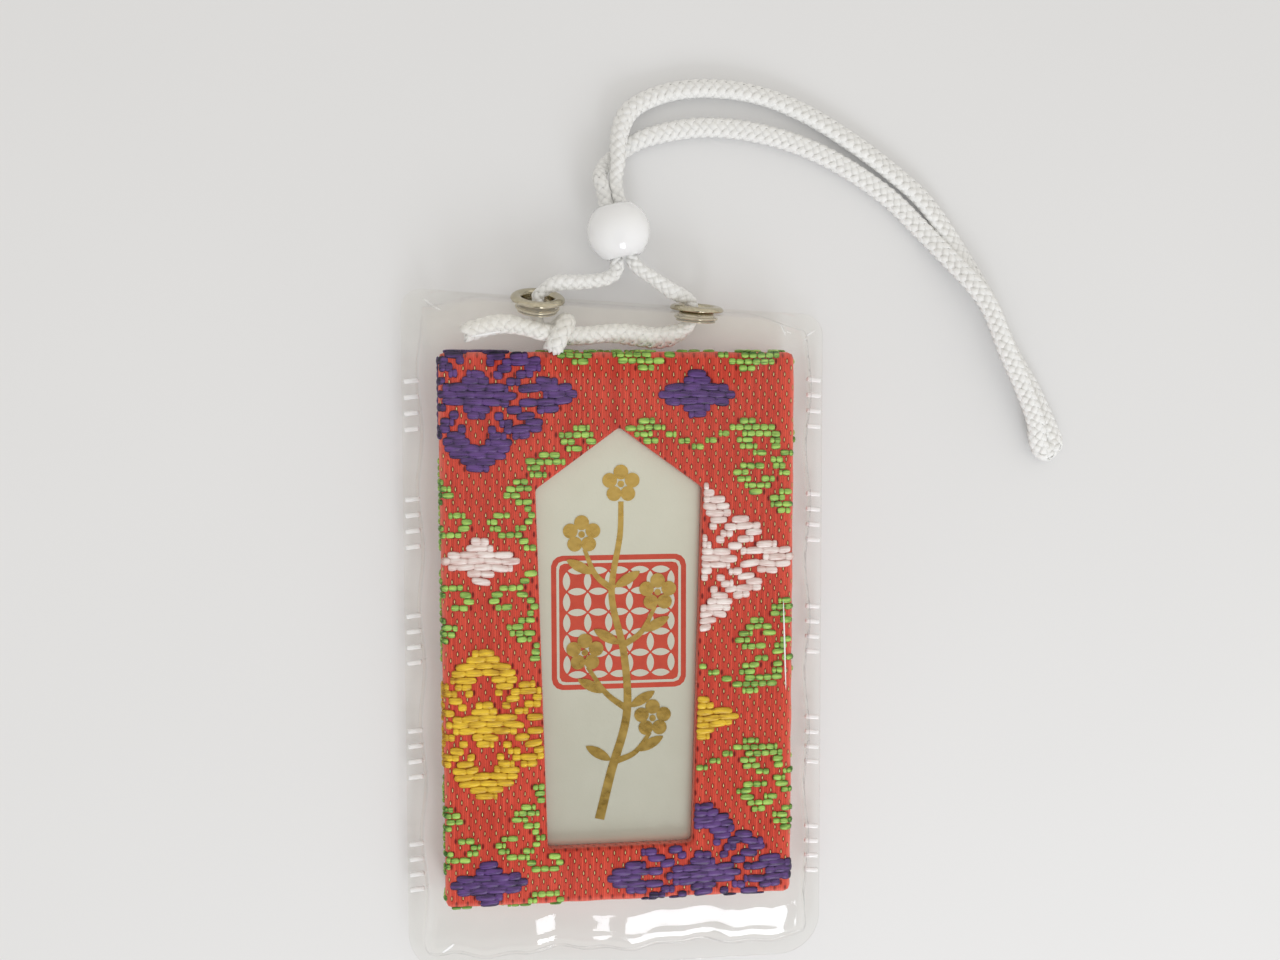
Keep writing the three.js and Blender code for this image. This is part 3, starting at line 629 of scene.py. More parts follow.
# Each draft lists the weft rows outward from the flower's middle, with the runs of float on each row, in
# millimetres to one side. The loom mirrors them to the other side and below.
SMALL_FLOWER = [[(0, 4.3)], [(0, 3.55)], [(0, 1.45)], [(0, 0.95)]]
LARGE_FLOWER = [
    [(0, 4.3), (7.4, 11.1)], [(0, 3.55), (4.8, 10.5)], [(0, 1.4), (3.4, 4.9), (6.7, 9.0)],
    [(0, 0.95), (2.0, 2.9), (4.5, 6.3)], [(2.5, 3.9), (5.45, 7.2)], [(1.25, 2.05), (3.0, 7.1)],
    [(1.4, 3.2), (3.9, 5.75)], [(0.9, 3.7)], [(0, 3.5)], [(0, 3.0)], [(0, 1.8)], [(0, 1.2)],
]
LEFT_SCROLL = [
    [], [], [(4.8, 8.0)], [(4.3, 5.4), (7.6, 8.5)], [(2.0, 4.7), (6.8, 8.2)], [(1.1, 2.4), (3.9, 5.2)],
    [(0.8, 2.0), (5.0, 5.9)], [(1.5, 3.4), (5.4, 6.5)], [(5.0, 5.8)], [(4.0, 5.9)], [(2.7, 4.6)],
    [(3.0, 5.9)], [(3.8, 5.5)], [(5.65, 7.6)], [(5.4, 6.9), (8.7, 9.8)], [(5.2, 9.7)], [(6.7, 9.1)],
    [(9.8, 11.6)], [(9.2, 10.8), (12.0, 13.5)], [(9.0, 12.9)], [(10.6, 12.5)],
]
RIGHT_SCROLL = [
    [], [], [], [], [(4.8, 6.7)], [(3.65, 8.9)], [(2.4, 3.65), (5.1, 9.5)],
    [(0.85, 2.2), (4.45, 6.35), (8.3, 9.55)], [(0, 0.7), (4.8, 6.85), (8.45, 9.55)], [(6.3, 7.9), (9.5, 11)],
    [(8.35, 9.8)], [(4.8, 7.65), (8.6, 10.1)], [(4.0, 5.8), (9.3, 10.6)], [(4.45, 6.1), (7.25, 8.85)],
    [(5.3, 8.35)], [(5.8, 7.4), (9.3, 10.75)], [(8.2, 10)], [(8.3, 10.9)], [(9.1, 10.6)],
]
FLOAT_LENGTHS = {"purple": 2.0, "white": 1.9, "yellow": 1.9, "green": 0.94}
FLOAT_HALF_WIDTHS = {"purple": 0.5, "white": 0.45, "yellow": 0.45, "green": 0.37}
FLOAT_OVERLAPS = {"purple": 1.16, "white": 1.12, "yellow": 1.12, "green": 1.0}
FLOAT_TILT = 0.14
FLOAT_WANDER = 0.06
FLOAT_WIDTH_VARIES = 0.14
FLOAT_HEIGHT_VARIES = 0.3
FLOAT_BLUNTNESS = 0.72
FLOAT_FULLNESS = 0.42
FLOAT_CHANCE_RATES = (1.7, 2.3)
FLOAT_CHANCE_PLANE = 0.5
FLOAT_SEED = 7
TIES_EACH_SIDE = 30
ROW_BENDS = {"purple": 0.3, "white": 0.3, "yellow": 0.3, "green": 0.1}
ROW_BEND_LENGTH = 3.6
ROW_BEND_SEED = 4.6
FLOAT_HALF_HEIGHT = 0.22
FLOAT_LIFT = 0.04
LEAST_FLOAT = 0.4
SIDE_TURN_OVER = 2.5
END_TURN_OVER = 2
WINDOW_CLEAR = 0.12
ROW_HALF = 0.3
FILAMENT_LENGTH = 1.6
FILAMENT_SPACING = 0.2
SILK_PATCH = 1.4
# Painted light on the silk: how far it lightens the floats' tops and the sides where it turns over, and the
# depths of that turn.
SILK_LIT_TOP = 0.34
SILK_LIT_TURN = 0.24
SILK_TURN_DEPTHS = (0.1, 0.6)
SILK_STREAK = 0.75
SILK_PATCHINESS = 0.4
SILK_DARK_END = 0.55
woven = {}
runs = {colour: [] for colour in FLOAT_LENGTHS}


def window_half(y):
    if not WINDOW_SILL < y < WINDOW_APEX:
        return 0.0
    if y < WINDOW_SHOULDER:
        share = (y - WINDOW_SILL) / (WINDOW_SHOULDER - WINDOW_SILL)
        return lerp(WINDOW_SILL_HALF, WINDOW_SHOULDER_HALF, share)
    return WINDOW_SHOULDER_HALF * (WINDOW_APEX - y) / (WINDOW_APEX - WINDOW_SHOULDER)


def lay(colour, row, start, end):
    """Keeps the parts of a run that lie on the cloth, beside the window."""
    y = FIRST_ROW_Y - row * WEFT_PITCH
    edge = TABLET_HALF_WIDTH + SIDE_TURN_OVER
    opening = max(window_half(y - ROW_HALF), window_half(y + ROW_HALF))
    gap = opening + WINDOW_CLEAR
    parts = [(start, end)]
    if opening > 0:
        parts = [(start, min(end, -gap)), (max(start, gap), end)]
    for a, b in parts:
        a, b = max(a, -edge), min(b, edge)
        if abs(y) > TABLET_HALF_LENGTH - FRONT_ROUND:
            a, b = max(a, FRONT_ROUND - TABLET_HALF_WIDTH), min(b, TABLET_HALF_WIDTH - FRONT_ROUND)
        if b - a > LEAST_FLOAT and abs(y) < TABLET_HALF_LENGTH + END_TURN_OVER:
            runs[colour].append((row, a, b))
            woven.setdefault(row, []).append((a, b))


def weave_draft(draft, colour, column_x, middle_row):
    for step, spans in enumerate(draft):
        for row in {middle_row - step, middle_row + step}:
            x = column_x + CLOTH_LEAN * row * WEFT_PITCH
            for start, end in spans:
                if start == 0:
                    lay(colour, row, x - end, x + end)
                else:
                    lay(colour, row, x + start, x + end)
                    lay(colour, row, x - end, x - start)


for drop in DROPS:
    middle_row = drop * ROWS_BETWEEN
    for number in COLUMNS:
        column_x = FLOWER_COLUMNS[0] + number * COLUMN_PITCH
        large = (drop + number) % 2 == 0
        flower_colour = FLOWER_COLOURS[drop % len(FLOWER_COLOURS)]
        weave_draft(LARGE_FLOWER if large else SMALL_FLOWER, flower_colour, column_x, middle_row)
        if not large:
            weave_draft(LEFT_SCROLL if number % 2 == 0 else RIGHT_SCROLL, "green", column_x, middle_row)


def wrapped(distance, half):
    """Where a point that far across the cloth lies: across the tablet, how far down, and its lean."""
    flat = half - FRONT_ROUND
    over = abs(distance) - flat
    side = math.copysign(1, distance)
    if over <= 0:
        return distance, 0.0, 0.0
    angle = min(over / FRONT_ROUND, math.pi / 2)
    below = max(over - FRONT_ROUND * math.pi / 2, 0)
    across = side * (flat + FRONT_ROUND * math.sin(angle))
    return across, FRONT_ROUND * (1 - math.cos(angle)) + below, side * angle


def on_cloth(x, y, lift):
    across, x_down, x_lean = wrapped(x, TABLET_HALF_WIDTH)
    along, y_down, y_lean = wrapped(y, TABLET_HALF_LENGTH)
    level = math.cos(x_lean) * math.cos(y_lean)
    return place(across + lift * math.sin(x_lean), along + lift * math.sin(y_lean),
                 CLOTH_FACE - x_down - y_down + lift * level)


def pattern_mesh(kind, **sizes):
    """A small closed shape that is copied for each float or tick."""
    bm = bmesh.new()
    getattr(bmesh.ops, kind)(bm, radius=1, **sizes)
    mesh = bpy.data.meshes.new(kind)
    bm.to_mesh(mesh)
    bm.free()
    return mesh


def copies(bm, mesh):
    """Adds a copy of a small shape and gives back its corners."""
    before = len(bm.verts)
    bm.from_mesh(mesh)
    bm.verts.ensure_lookup_table()
    return bm.verts[before:]


def pillow(bm, x, y, half_length, half_width, half_height, bend, tilt):
    """A float lying on the cloth: full along its length, pinched at its ends, and bent with its row."""
    for vert in copies(bm, FLOAT_SHAPE):
        along = x + math.copysign(abs(vert.co.z) ** FLOAT_BLUNTNESS, vert.co.z) * half_length
        girth = math.hypot(vert.co.x, vert.co.y)
        full = girth ** -FLOAT_FULLNESS if girth > 1e-6 else 0.0
        sway = bend * noise.noise(Vector((along / ROW_BEND_LENGTH, y / ROW_BEND_LENGTH, ROW_BEND_SEED)))
        across = y + sway + tilt * (along - x) + vert.co.x * full * half_width
        vert.co = on_cloth(along, across, FLOAT_LIFT + vert.co.y * full * half_height)


FLOAT_SHAPE = pattern_mesh("create_uvsphere", u_segments=8, v_segments=6)


def silk(name, dark, light, height):
    """Untwisted silk weft: filaments along each float, drawn 0.2 mm apart, with painted shade low between the
    floats.
    """
    made, shader = finish_of(name, {"Roughness": 0.38, "Specular IOR Level": 0.35})
    space = add(made, "TexCoord", {}, output="Object")
    fine = 1 / (FILAMENT_SPACING * MM)
    spacing = (1 / (FILAMENT_LENGTH * MM), fine, fine)
    stretched = add(made, "Mapping", {"Vector": space, "Scale": spacing})
    filament = add(made, "TexNoise", {"Vector": stretched, "Scale": 1.0, "Detail": 1.0})
    patch = add(made, "TexNoise", {"Vector": space, "Scale": 1 / (SILK_PATCH * MM), "Detail": 1.0})
    # Painted shade and light: the silk is coloured darker low down between the floats, and lighter on their
    # tops and on the tablet's sides where it turns over.
    level = add(made, "SeparateXYZ", {"Vector": space}, output="Z")
    raised = add(made, "MapRange", {
        "Value": level, "From Min": CLOTH_FACE * MM, "From Max": (CLOTH_FACE + height) * MM,
        "To Max": SILK_LIT_TOP})
    turn_start, turn_end = ((CLOTH_FACE - depth) * MM for depth in SILK_TURN_DEPTHS)
    painted_turn_light = add(made, "MapRange", {
        "Value": level, "From Min": turn_start, "From Max": turn_end, "To Max": SILK_LIT_TURN})
    painted_light_by_height = add(made, "Math", {0: raised, 1: painted_turn_light}, operation="MAXIMUM")
    streak = add(made, "Math", {0: filament, 1: SILK_STREAK, 2: painted_light_by_height}, operation="MULTIPLY_ADD")
    mix = add(made, "Math", {0: patch, 1: SILK_PATCHINESS, 2: streak}, operation="MULTIPLY_ADD")
    tone = add(made, "ValToRGB", {"Fac": mix})
    tone.node.color_ramp.elements[0].position = SILK_DARK_END
    tone.node.color_ramp.elements[0].color = linear(dark)
    tone.node.color_ramp.elements[1].position = 1.0
    tone.node.color_ramp.elements[1].color = linear(light)
    bump = add(made, "Bump", {"Height": filament, "Strength": 0.5, "Distance": 0.05 * MM})
    feed(made, shader, {"Base Color": tone, "Normal": bump})
    return made


FLOAT_TOP = FLOAT_LIFT + FLOAT_HALF_HEIGHT
SILKS = {
    "purple": silk("purple_silk_weft", "#130829", "#66428a", FLOAT_TOP),
    "white": silk("white_silk_weft", "#cfa9a2", "#f8efec", FLOAT_TOP),
    "yellow": silk("yellow_silk_weft", "#a4700a", "#f2cc34", FLOAT_TOP),
    "green": silk("green_silk_weft", "#3f6c24", "#b4e06d", FLOAT_TOP),
}
noise.seed_set(FLOAT_SEED)  # noise_vector is offset by the clock until a seed is set
for colour, laid in runs.items():
    bm = bmesh.new()
    for row, start, end in laid:
        y = FIRST_ROW_Y - row * WEFT_PITCH
        pitch = FLOAT_LENGTHS[colour]
        offset = (row * TICK_STEP % 1) * pitch
        ties = [offset + k * pitch for k in range(-TIES_EACH_SIDE, TIES_EACH_SIDE + 1)]
        ties = [x for x in ties if start + LEAST_FLOAT < x < end - LEAST_FLOAT]
        for a, b in zip([start, *ties], [*ties, end]):
            middle = (a + b) / 2
            spot = Vector((middle * FLOAT_CHANCE_RATES[0], y * FLOAT_CHANCE_RATES[1], FLOAT_CHANCE_PLANE))
            chance = noise.noise_vector(spot)
            pillow(bm, middle, y + FLOAT_WANDER * chance.x, (b - a) / 2 * FLOAT_OVERLAPS[colour],
                   FLOAT_HALF_WIDTHS[colour] * (1 + FLOAT_WIDTH_VARIES * chance.y),
                   FLOAT_HALF_HEIGHT * (1 + FLOAT_HEIGHT_VARIES * chance.z),
                   ROW_BENDS[colour], FLOAT_TILT * chance.x)
    piece(f"{colour}_weft", bm, SILKS[colour], "tablet")

# Ground weft: between the flowers a pale green weft shows as small upright ticks, one in five warp threads.
# Each is a short stretch where that silk passes over the red, and none lies under a float.
TICK_HALF_WIDTH = 0.06
TICK_HALF_LENGTH = 0.25
TICK_HALF_HEIGHT = 0.07
TICK_ROWS_ABOVE = 8
TICKS_EACH_SIDE = 18
TICK_WINDOW_CLEAR = 0.35
TICK_FLOAT_CLEAR = 0.3
TICK_SHAPE = pattern_mesh("create_icosphere", subdivisions=1)
bm = bmesh.new()
tick_rows = math.ceil(TABLET_HALF_LENGTH * 2 / WEFT_PITCH)
for row in range(-TICK_ROWS_ABOVE, tick_rows):
    y = FIRST_ROW_Y - row * WEFT_PITCH
    if abs(y) > TABLET_HALF_LENGTH - FRONT_ROUND:
        continue
    beside_window = WINDOW_SILL - TICK_FLOAT_CLEAR < y < WINDOW_APEX
    for number in range(-TICKS_EACH_SIDE, TICKS_EACH_SIDE + 1):
        x = (number + (row * TICK_STEP) % 1) * TICK_PITCH
        if abs(x) > TABLET_HALF_WIDTH:
            continue
        if beside_window and abs(x) < window_half(y) + TICK_WINDOW_CLEAR:
            continue
        if any(a - TICK_FLOAT_CLEAR < x < b + TICK_FLOAT_CLEAR for a, b in woven.get(row, [])):
            continue
        for vert in copies(bm, TICK_SHAPE):
            vert.co = on_cloth(x + vert.co.x * TICK_HALF_WIDTH, y + vert.co.y * TICK_HALF_LENGTH,
                               vert.co.z * TICK_HALF_HEIGHT)
tick_silk = silk("pale_green_silk_weft", "#c8bd68", "#eee8a8", TICK_HALF_HEIGHT / 2)
piece("ground_weft", bm, tick_silk, "tablet")
window_area = (WINDOW_SILL_HALF + WINDOW_SHOULDER_HALF) * (WINDOW_SHOULDER - WINDOW_SILL)
window_area += WINDOW_SHOULDER_HALF * (WINDOW_APEX - WINDOW_SHOULDER)

# Back lining: a plain red cloth pasted over the back of the card, where the brocade's turned edges end.
# It shows through the back of the pouch.
lining_low, lining_high = (Vector(corner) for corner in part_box("back_lining"))
lining_size = lining_high - lining_low
LINING_EDGE = 0.15
LINING_THREAD = 0.35

# Plain-woven cotton, dyed red: matt, with threads 0.35 mm apart crossing square.
lining_red, lining_shader = finish_of("cotton_lining_red", {"Roughness": 0.9, "Sheen Weight": 0.2})
lining_object = add(lining_red, "TexCoord", {}, output="Object")
lining_x, lining_y = (
    add(lining_red, "TexWave", {
        "Vector": lining_object, "Scale": math.pi / (10 * LINING_THREAD * MM), "Distortion": 0.4},
        output="Fac", bands_direction=axis) for axis in "XY")
lining_weave = add(lining_red, "Math", {0: lining_x, 1: lining_y}, operation="MULTIPLY")
lining_tone = add(lining_red, "ValToRGB", {"Fac": lining_weave})
lining_tone.node.color_ramp.elements[0].color = linear("#8e231c")
lining_tone.node.color_ramp.elements[1].color = linear("#c04033")
lining_bump = add(lining_red, "Bump", {"Height": lining_weave, "Strength": 0.6, "Distance": 0.1 * MM})
feed(lining_red, lining_shader, {"Base Color": lining_tone, "Normal": lining_bump})

bm = bmesh.new()
lining_block = Matrix.Translation((lining_low + lining_high) / 2) @ Matrix.Diagonal((*lining_size, 1))
bmesh.ops.create_cube(bm, size=1, matrix=lining_block)
bmesh.ops.bevel(bm, geom=bm.edges[:], offset=LINING_EDGE * MM, offset_type="OFFSET", segments=2,
                profile=0.5, affect="EDGES", material=-1)
lining = piece("lining_cloth", bm, lining_red, "tablet", smooth=False)
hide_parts("back_lining")

# Pouch: one sheet of clear soft vinyl, folded over at the slanted head and welded along the sides and foot.
# The front swells over the tablet and stands up in a puffed fold at the head; the back lies on the table.
FILM = 0.3
FOOT_Y = -40.6
HEAD_Y = 37.24
HEAD_TURN = math.radians(3.4)
HEAD_SLANT = math.tan(HEAD_TURN)
FOOT_HALF = 24.4
HEAD_HALF = 24.1
FOOT_CORNER = 5
HEAD_CORNER = 2.4
SIDE_WELD = 1.9
FOOT_WELD = 2.5
WELD_HEIGHT = 1.3
SIDE_RAMP = 1.4
FOOT_RAMP = 2.9
FOOT_RAMP_LEAD = 0.15
FOOT_FILLET = 0.9
FOOT_FILLET_LEAD = 0.3
FOOT_SLACK = 0.08
FOOT_PUFF = 0.09
FOOT_SLACK_START = 4.6
FOOT_SLACK_RUN = 4.6
FOOT_PUFF_RUN = 5
POUCH_FACE = 5.7
WELD_FACE_INSET = 3.9
FOLD_TAPER = 7
FILM_COLUMNS = 120
FILM_ROWS = 190
FILM_CROWDING = 0.85
WELD_GROUP = 13.3
WELD_WAVER = 0.28
WELD_WAVER_START = 0.8
WELD_WAVER_LEAN = 0.02
# The foot weld's two wavers: how far, how often along the foot, and where each starts.
FOOT_WAVERS = ((0.35, 0.42, 1.2), (0.2, 1.1, 0))
FILM_RIPPLE = 0.06
FILM_RIPPLE_RATES = (0.16, 0.11)
FILM_RIPPLE_SEED = 8.2
FILM_SINK = 0.04


def smoothly(share):
    held = clamp(share)
    return held * held * (3 - 2 * held)


def pouch_half(y):
    half = lerp(FOOT_HALF, HEAD_HALF, (y - FOOT_Y) / (HEAD_Y - FOOT_Y))
    for inset, radius in ((y - FOOT_Y, FOOT_CORNER), (HEAD_Y - y, HEAD_CORNER)):
        if inset < radius:
            half -= radius - math.sqrt(radius ** 2 - (radius - inset) ** 2)
    return half


def crowded(share):
    """Spreads even shares so that they crowd towards both ends, where the film bends."""
    return share - FILM_CROWDING * math.sin(2 * math.pi * share) / (2 * math.pi)


def film_spot(u, v):
    half = pouch_half(lerp(FOOT_Y, HEAD_Y, crowded(v)))
    x = lerp(-1, 1, crowded(u)) * half
    return x, lerp(FOOT_Y, HEAD_Y - x * HEAD_SLANT, crowded(v)), half


def swell(inset, weld, ramp):
    reach = clamp((inset - weld) / ramp)
    return math.sqrt(1 - (1 - reach) ** 2)


def foot_swell(inset, puff):
    """The foot's rise: a small fillet at the weld, a steep bulge, then a slack slope over the tablet."""
    bulge = swell(inset, FOOT_WELD - FOOT_RAMP_LEAD, FOOT_RAMP)
    bulge *= smoothly((inset - FOOT_WELD + FOOT_FILLET_LEAD) / FOOT_FILLET)
    slope = smoothly((inset - FOOT_SLACK_START) / FOOT_SLACK_RUN)
    settled = smoothly((inset - FOOT_SLACK_START - FOOT_SLACK_RUN) / FOOT_PUFF_RUN)
    return lerp(bulge, slope, FOOT_SLACK) + puff * slope * (1 - settled)


def weld_waver(x, y):
    """How far the inner edge of a side weld wanders, in step with its groups of ribs."""
    return WELD_WAVER * math.sin(2 * math.pi * y / WELD_GROUP + WELD_WAVER_START + x * WELD_WAVER_LEAN)


def insets(x, y, half):
    """How far a point lies from the wavering side and foot welds' edges, and from the head."""
    side = half - abs(x) + weld_waver(x, y)
    foot = y - FOOT_Y + sum(size * math.sin(x * rate + start) for size, rate, start in FOOT_WAVERS)
    return side, foot, HEAD_Y - x * HEAD_SLANT - y


RAMP_ANGLES = [math.radians(a) for a in (0, 22.5, 45, 67.5, 90)]
# Inset from the head, and height of the film there: across a plain weld, and across the puffed fold.
WELD_RAMP = [(SIDE_WELD + SIDE_RAMP * (1 - math.cos(a)), math.sin(a)) for a in RAMP_ANGLES]
WELD_PROFILE = [(0, 0), *WELD_RAMP, (WELD_FACE_INSET, 1)]
FOLD_PROFILE = [(0, 0.6), (0.25, 0.6), (1.18, 6.5), (2.2, 6.95), (3.7, 7.1), (6.4, 6.26), (8.6, POUCH_FACE)]


def head_height(x, inset, weld, flat, fold_heights):
    """The film's height across the head at x: plain weld at the two ends, puffed fold between them."""
    points = []
    for (weld_inset, rise), (fold_inset, _), fold in zip(WELD_PROFILE, FOLD_PROFILE, fold_heights):
        share = smoothly((HEAD_HALF - weld_inset - abs(x)) / FOLD_TAPER)
        points.append((lerp(weld_inset, fold_inset, share), lerp(lerp(weld, flat, rise), fold, share)))
    for (near, low), (far, high) in zip(points, points[1:]):
        if inset < far:
            return lerp(low, high, clamp((inset - near) / (far - near)))
    return flat


def film_height(x, y, half, weld, flat, fold_heights, puff):
    side, foot, head = insets(x, y, half)
    rise = swell(side, SIDE_WELD, SIDE_RAMP) * foot_swell(foot, puff)
    return lerp(weld, head_height(x, head, weld, flat, fold_heights), rise), rise


def front_height(x, y, half):
    fold_heights = [height for _, height in FOLD_PROFILE]
    height, rise = film_height(x, y, half, WELD_HEIGHT + FILM, POUCH_FACE, fold_heights, FOOT_PUFF)
    spot = Vector((x * FILM_RIPPLE_RATES[0], y * FILM_RIPPLE_RATES[1], FILM_RIPPLE_SEED))
    return height + rise * (FILM_RIPPLE * noise.noise(spot) - FILM_SINK)


def front_point(u, v):
    x, y, half = film_spot(u, v)
    return place(x, y, front_height(x, y, half))


def back_point(u, v):
    x, y, half = film_spot(u, v)
    return place(x, y, film_height(x, y, half, WELD_HEIGHT - FILM, 0, [0] * len(FOLD_PROFILE), 0)[0])


# Clear plasticised vinyl: see-through, with a glossy skin and the faintest warm tint.
# Lamps shine through it, a soft ripple, 5 mm apart, bends its highlights, and the fold's front is hazy.
HAZE_SHARE = 0.16
HAZE_HEIGHTS = (1, 6)
HAZE_RUN = 3
vinyl, vinyl_shader = finish_of("clear_soft_vinyl", {})
vinyl_object = add(vinyl, "TexCoord", {}, output="Object")
vinyl_ripple = add(vinyl, "TexNoise", {"Vector": vinyl_object, "Scale": 1 / (5 * MM), "Detail": 2.0})
vinyl_bump = add(vinyl, "Bump", {"Height": vinyl_ripple, "Strength": 0.35, "Distance": 0.3 * MM})
vinyl_gloss = add(vinyl, "BsdfGlossy", {"Color": linear("#ffffff"), "Roughness": 0.06, "Normal": vinyl_bump})
vinyl_facing = add(vinyl, "LayerWeight", {"Blend": 0.5, "Normal": vinyl_bump}, output="Facing")
vinyl_tint = add(vinyl, "ValToRGB", {"Fac": vinyl_facing})
vinyl_tint.node.color_ramp.elements[0].position = 0.75
vinyl_tint.node.color_ramp.elements[0].color = linear("#fefefd")
vinyl_tint.node.color_ramp.elements[1].color = linear("#9a949a")
vinyl_tint.node.color_ramp.elements.new(0.93).color = linear("#f4f3f4")
vinyl_clear = add(vinyl, "BsdfTransparent", {"Color": vinyl_tint})
vinyl_steep = add(vinyl, "Math", {0: vinyl_facing, 1: 5.0}, operation="POWER")
vinyl_flat = add(vinyl, "MapRange", {
    "Value": vinyl_facing, "From Min": 0.1, "From Max": 0.22, "To Min": 0.015, "To Max": 0.055})
vinyl_mirror = add(vinyl, "Math", {0: vinyl_steep, 1: 0.6, 2: vinyl_flat}, operation="MULTIPLY_ADD")
vinyl_mix = add(vinyl, "MixShader", {0: vinyl_mirror, 1: vinyl_clear, 2: vinyl_gloss})
vinyl_y = add(vinyl, "SeparateXYZ", {"Vector": vinyl_object}, output="Y")
vinyl_front = add(vinyl, "MapRange", {
    "Value": vinyl_y.node.outputs["Z"], "From Min": HAZE_HEIGHTS[0] * MM, "From Max": HAZE_HEIGHTS[1] * MM,
    "To Max": HAZE_SHARE})
vinyl_haze = add(vinyl, "MapRange", {
    "Value": vinyl_y, "From Min": tablet_high.y, "From Max": tablet_high.y + HAZE_RUN * MM,
    "To Max": vinyl_front})
vinyl_milk = add(vinyl, "BsdfDiffuse", {"Color": linear("#fff8ea")})
vinyl_hazed = add(vinyl, "MixShader", {0: vinyl_haze, 1: vinyl_mix, 2: vinyl_milk})
feed(vinyl, vinyl.node_tree.nodes["Material Output"], {"Surface": vinyl_hazed})
vinyl.node_tree.nodes.remove(vinyl_shader)

bm = bmesh.new()
for face_point in (front_point, back_point):
    mapped_grid(bm, FILM_COLUMNS, FILM_ROWS, face_point)
bmesh.ops.bridge_loops(bm, edges=[edge for edge in bm.edges if edge.is_boundary])
pouch = piece("clear_pouch", bm, vinyl, "pouch")
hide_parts("pouch_front_film", "pouch_back_film")

# Weld flash: a thin bead of the same vinyl, squeezed out along the inner edge of each side weld.
# It wanders with the weld and thins away at its two ends.
FLASH_RADIUS = 0.2
FLASH_ENDS = (-35.5, 32.5)
FLASH_X = 22
FLASH_STEPS = 140
FLASH_SIDES = 8


def rolled_tube(bm, steps, sides, position, uv):
    """A grid rolled up along its first direction, with its seam welded and its two ends closed."""
    verts, faces = mapped_grid(bm, steps, sides, position, uv)
    bmesh.ops.remove_doubles(bm, verts=verts, dist=1e-8)
    rims = {edge for face in faces if face.is_valid for edge in face.edges if edge.is_boundary}
    bmesh.ops.holes_fill(bm, edges=list(rims), sides=0)


bm = bmesh.new()
for side in (-1, 1):
    def flash_point(u, v):
        y = lerp(*FLASH_ENDS, u)
        angle = v * 2 * math.pi
        girth = FLASH_RADIUS * math.sqrt(clamp(8 * u * (1 - u)))
        x = pouch_half(y) - SIDE_WELD + weld_waver(side * FLASH_X, y) + girth * math.cos(angle)
        return place(side * x, y, WELD_HEIGHT + FILM + girth * math.sin(angle))

    rolled_tube(bm, FLASH_STEPS, FLASH_SIDES, flash_point, lambda u, v: (u, v))
piece("weld_flash", bm, vinyl, "pouch")

# Weld ribs: the sealing bar pressed short ribs across the side welds, in groups of four.
# The vinyl is stretched thin over them; their bright bars are coloured white, partly stress-whitening, partly
# a painted highlight.
RIB_FIRST_Y = 28.3
RIB_GROUPS = 5
RIBS_IN_GROUP = 4
RIB_PITCH = 1.8
RIB_INSET = 1.05
RIB_SIZE = (1.7, 0.55, 0.5)
RIB_ROUND = 0.18
RIB_LEAN = 0.1
bm = bmesh.new()
for side in (-1, 1):
    for group in range(RIB_GROUPS):
        for rib in range(RIBS_IN_GROUP):
            y = RIB_FIRST_Y - group * WELD_GROUP - rib * RIB_PITCH
            spot = Matrix.Translation(place(side * (pouch_half(y) - RIB_INSET), y, WELD_HEIGHT + FILM))
            size = Matrix.Diagonal((*(length * MM for length in RIB_SIZE), 1))
            bmesh.ops.create_cube(bm, size=1, matrix=spot @ Matrix.Rotation(-side * RIB_LEAN, 4, "Z") @ size)
bmesh.ops.bevel(bm, geom=bm.edges[:], offset=RIB_ROUND * MM, offset_type="OFFSET", segments=3, profile=0.5,
                affect="EDGES", material=-1)

# Whitened vinyl: milky white in clouds about 0.4 mm wide, partly stress-whitening where the ribs were
# pressed, partly a painted highlight on the ribs and creases.
white_vinyl_glint, white_vinyl_glint_shader = finish_of("whitened_vinyl_painted_glint", {
    "Roughness": 0.2, "IOR": 1.53, "Alpha": 0.9})
white_object = add(white_vinyl_glint, "TexCoord", {}, output="Object")
white_cloud = add(white_vinyl_glint, "TexNoise", {"Vector": white_object, "Scale": 1 / (0.4 * MM)})
whitening_glint_tone = add(white_vinyl_glint, "ValToRGB", {"Fac": white_cloud})
whitening_glint_tone.node.color_ramp.elements[0].color = linear("#f4f4f4")
whitening_glint_tone.node.color_ramp.elements[1].color = linear("#ffffff")
feed(white_vinyl_glint, white_vinyl_glint_shader, {"Base Color": whitening_glint_tone})
piece("weld_ribs", bm, white_vinyl_glint, "pouch")

# Creases: short kinks that handling has left in the film, each from one point to another, coloured white as
# painted highlights where they catch the light.
# They lie at the head, in two corners and over the tablet's right edge.
CREASES = [
    ((-21.7, 37.5), (-19.6, 36), 0.2), ((-16.5, 33.1), (-13.1, 33.7), 0.13), ((21, 32.8), (23.2, 34), 0.13),
    ((18.2, 34.9), (18.7, 33.3), 0.13), ((18.7, 3.4), (19.1, -7.4), 0.1),
    ((-20.5, -36.7), (-19.1, -35.4), 0.2),
]
CREASE_HEIGHT = 0.05
bm = bmesh.new()
for start, end, half in CREASES:
    run = Vector(end) - Vector(start)
    across = Vector((-run.y, run.x)).normalized()
    for vert in copies(bm, FLOAT_SHAPE):
        x, y = Vector(start) + run * (vert.co.z + 1) / 2 + across * vert.co.x * half
        vert.co = place(x, y, front_height(x, y, HEAD_HALF) + vert.co.y * CREASE_HEIGHT)
piece("film_creases", bm, white_vinyl_glint, "pouch")

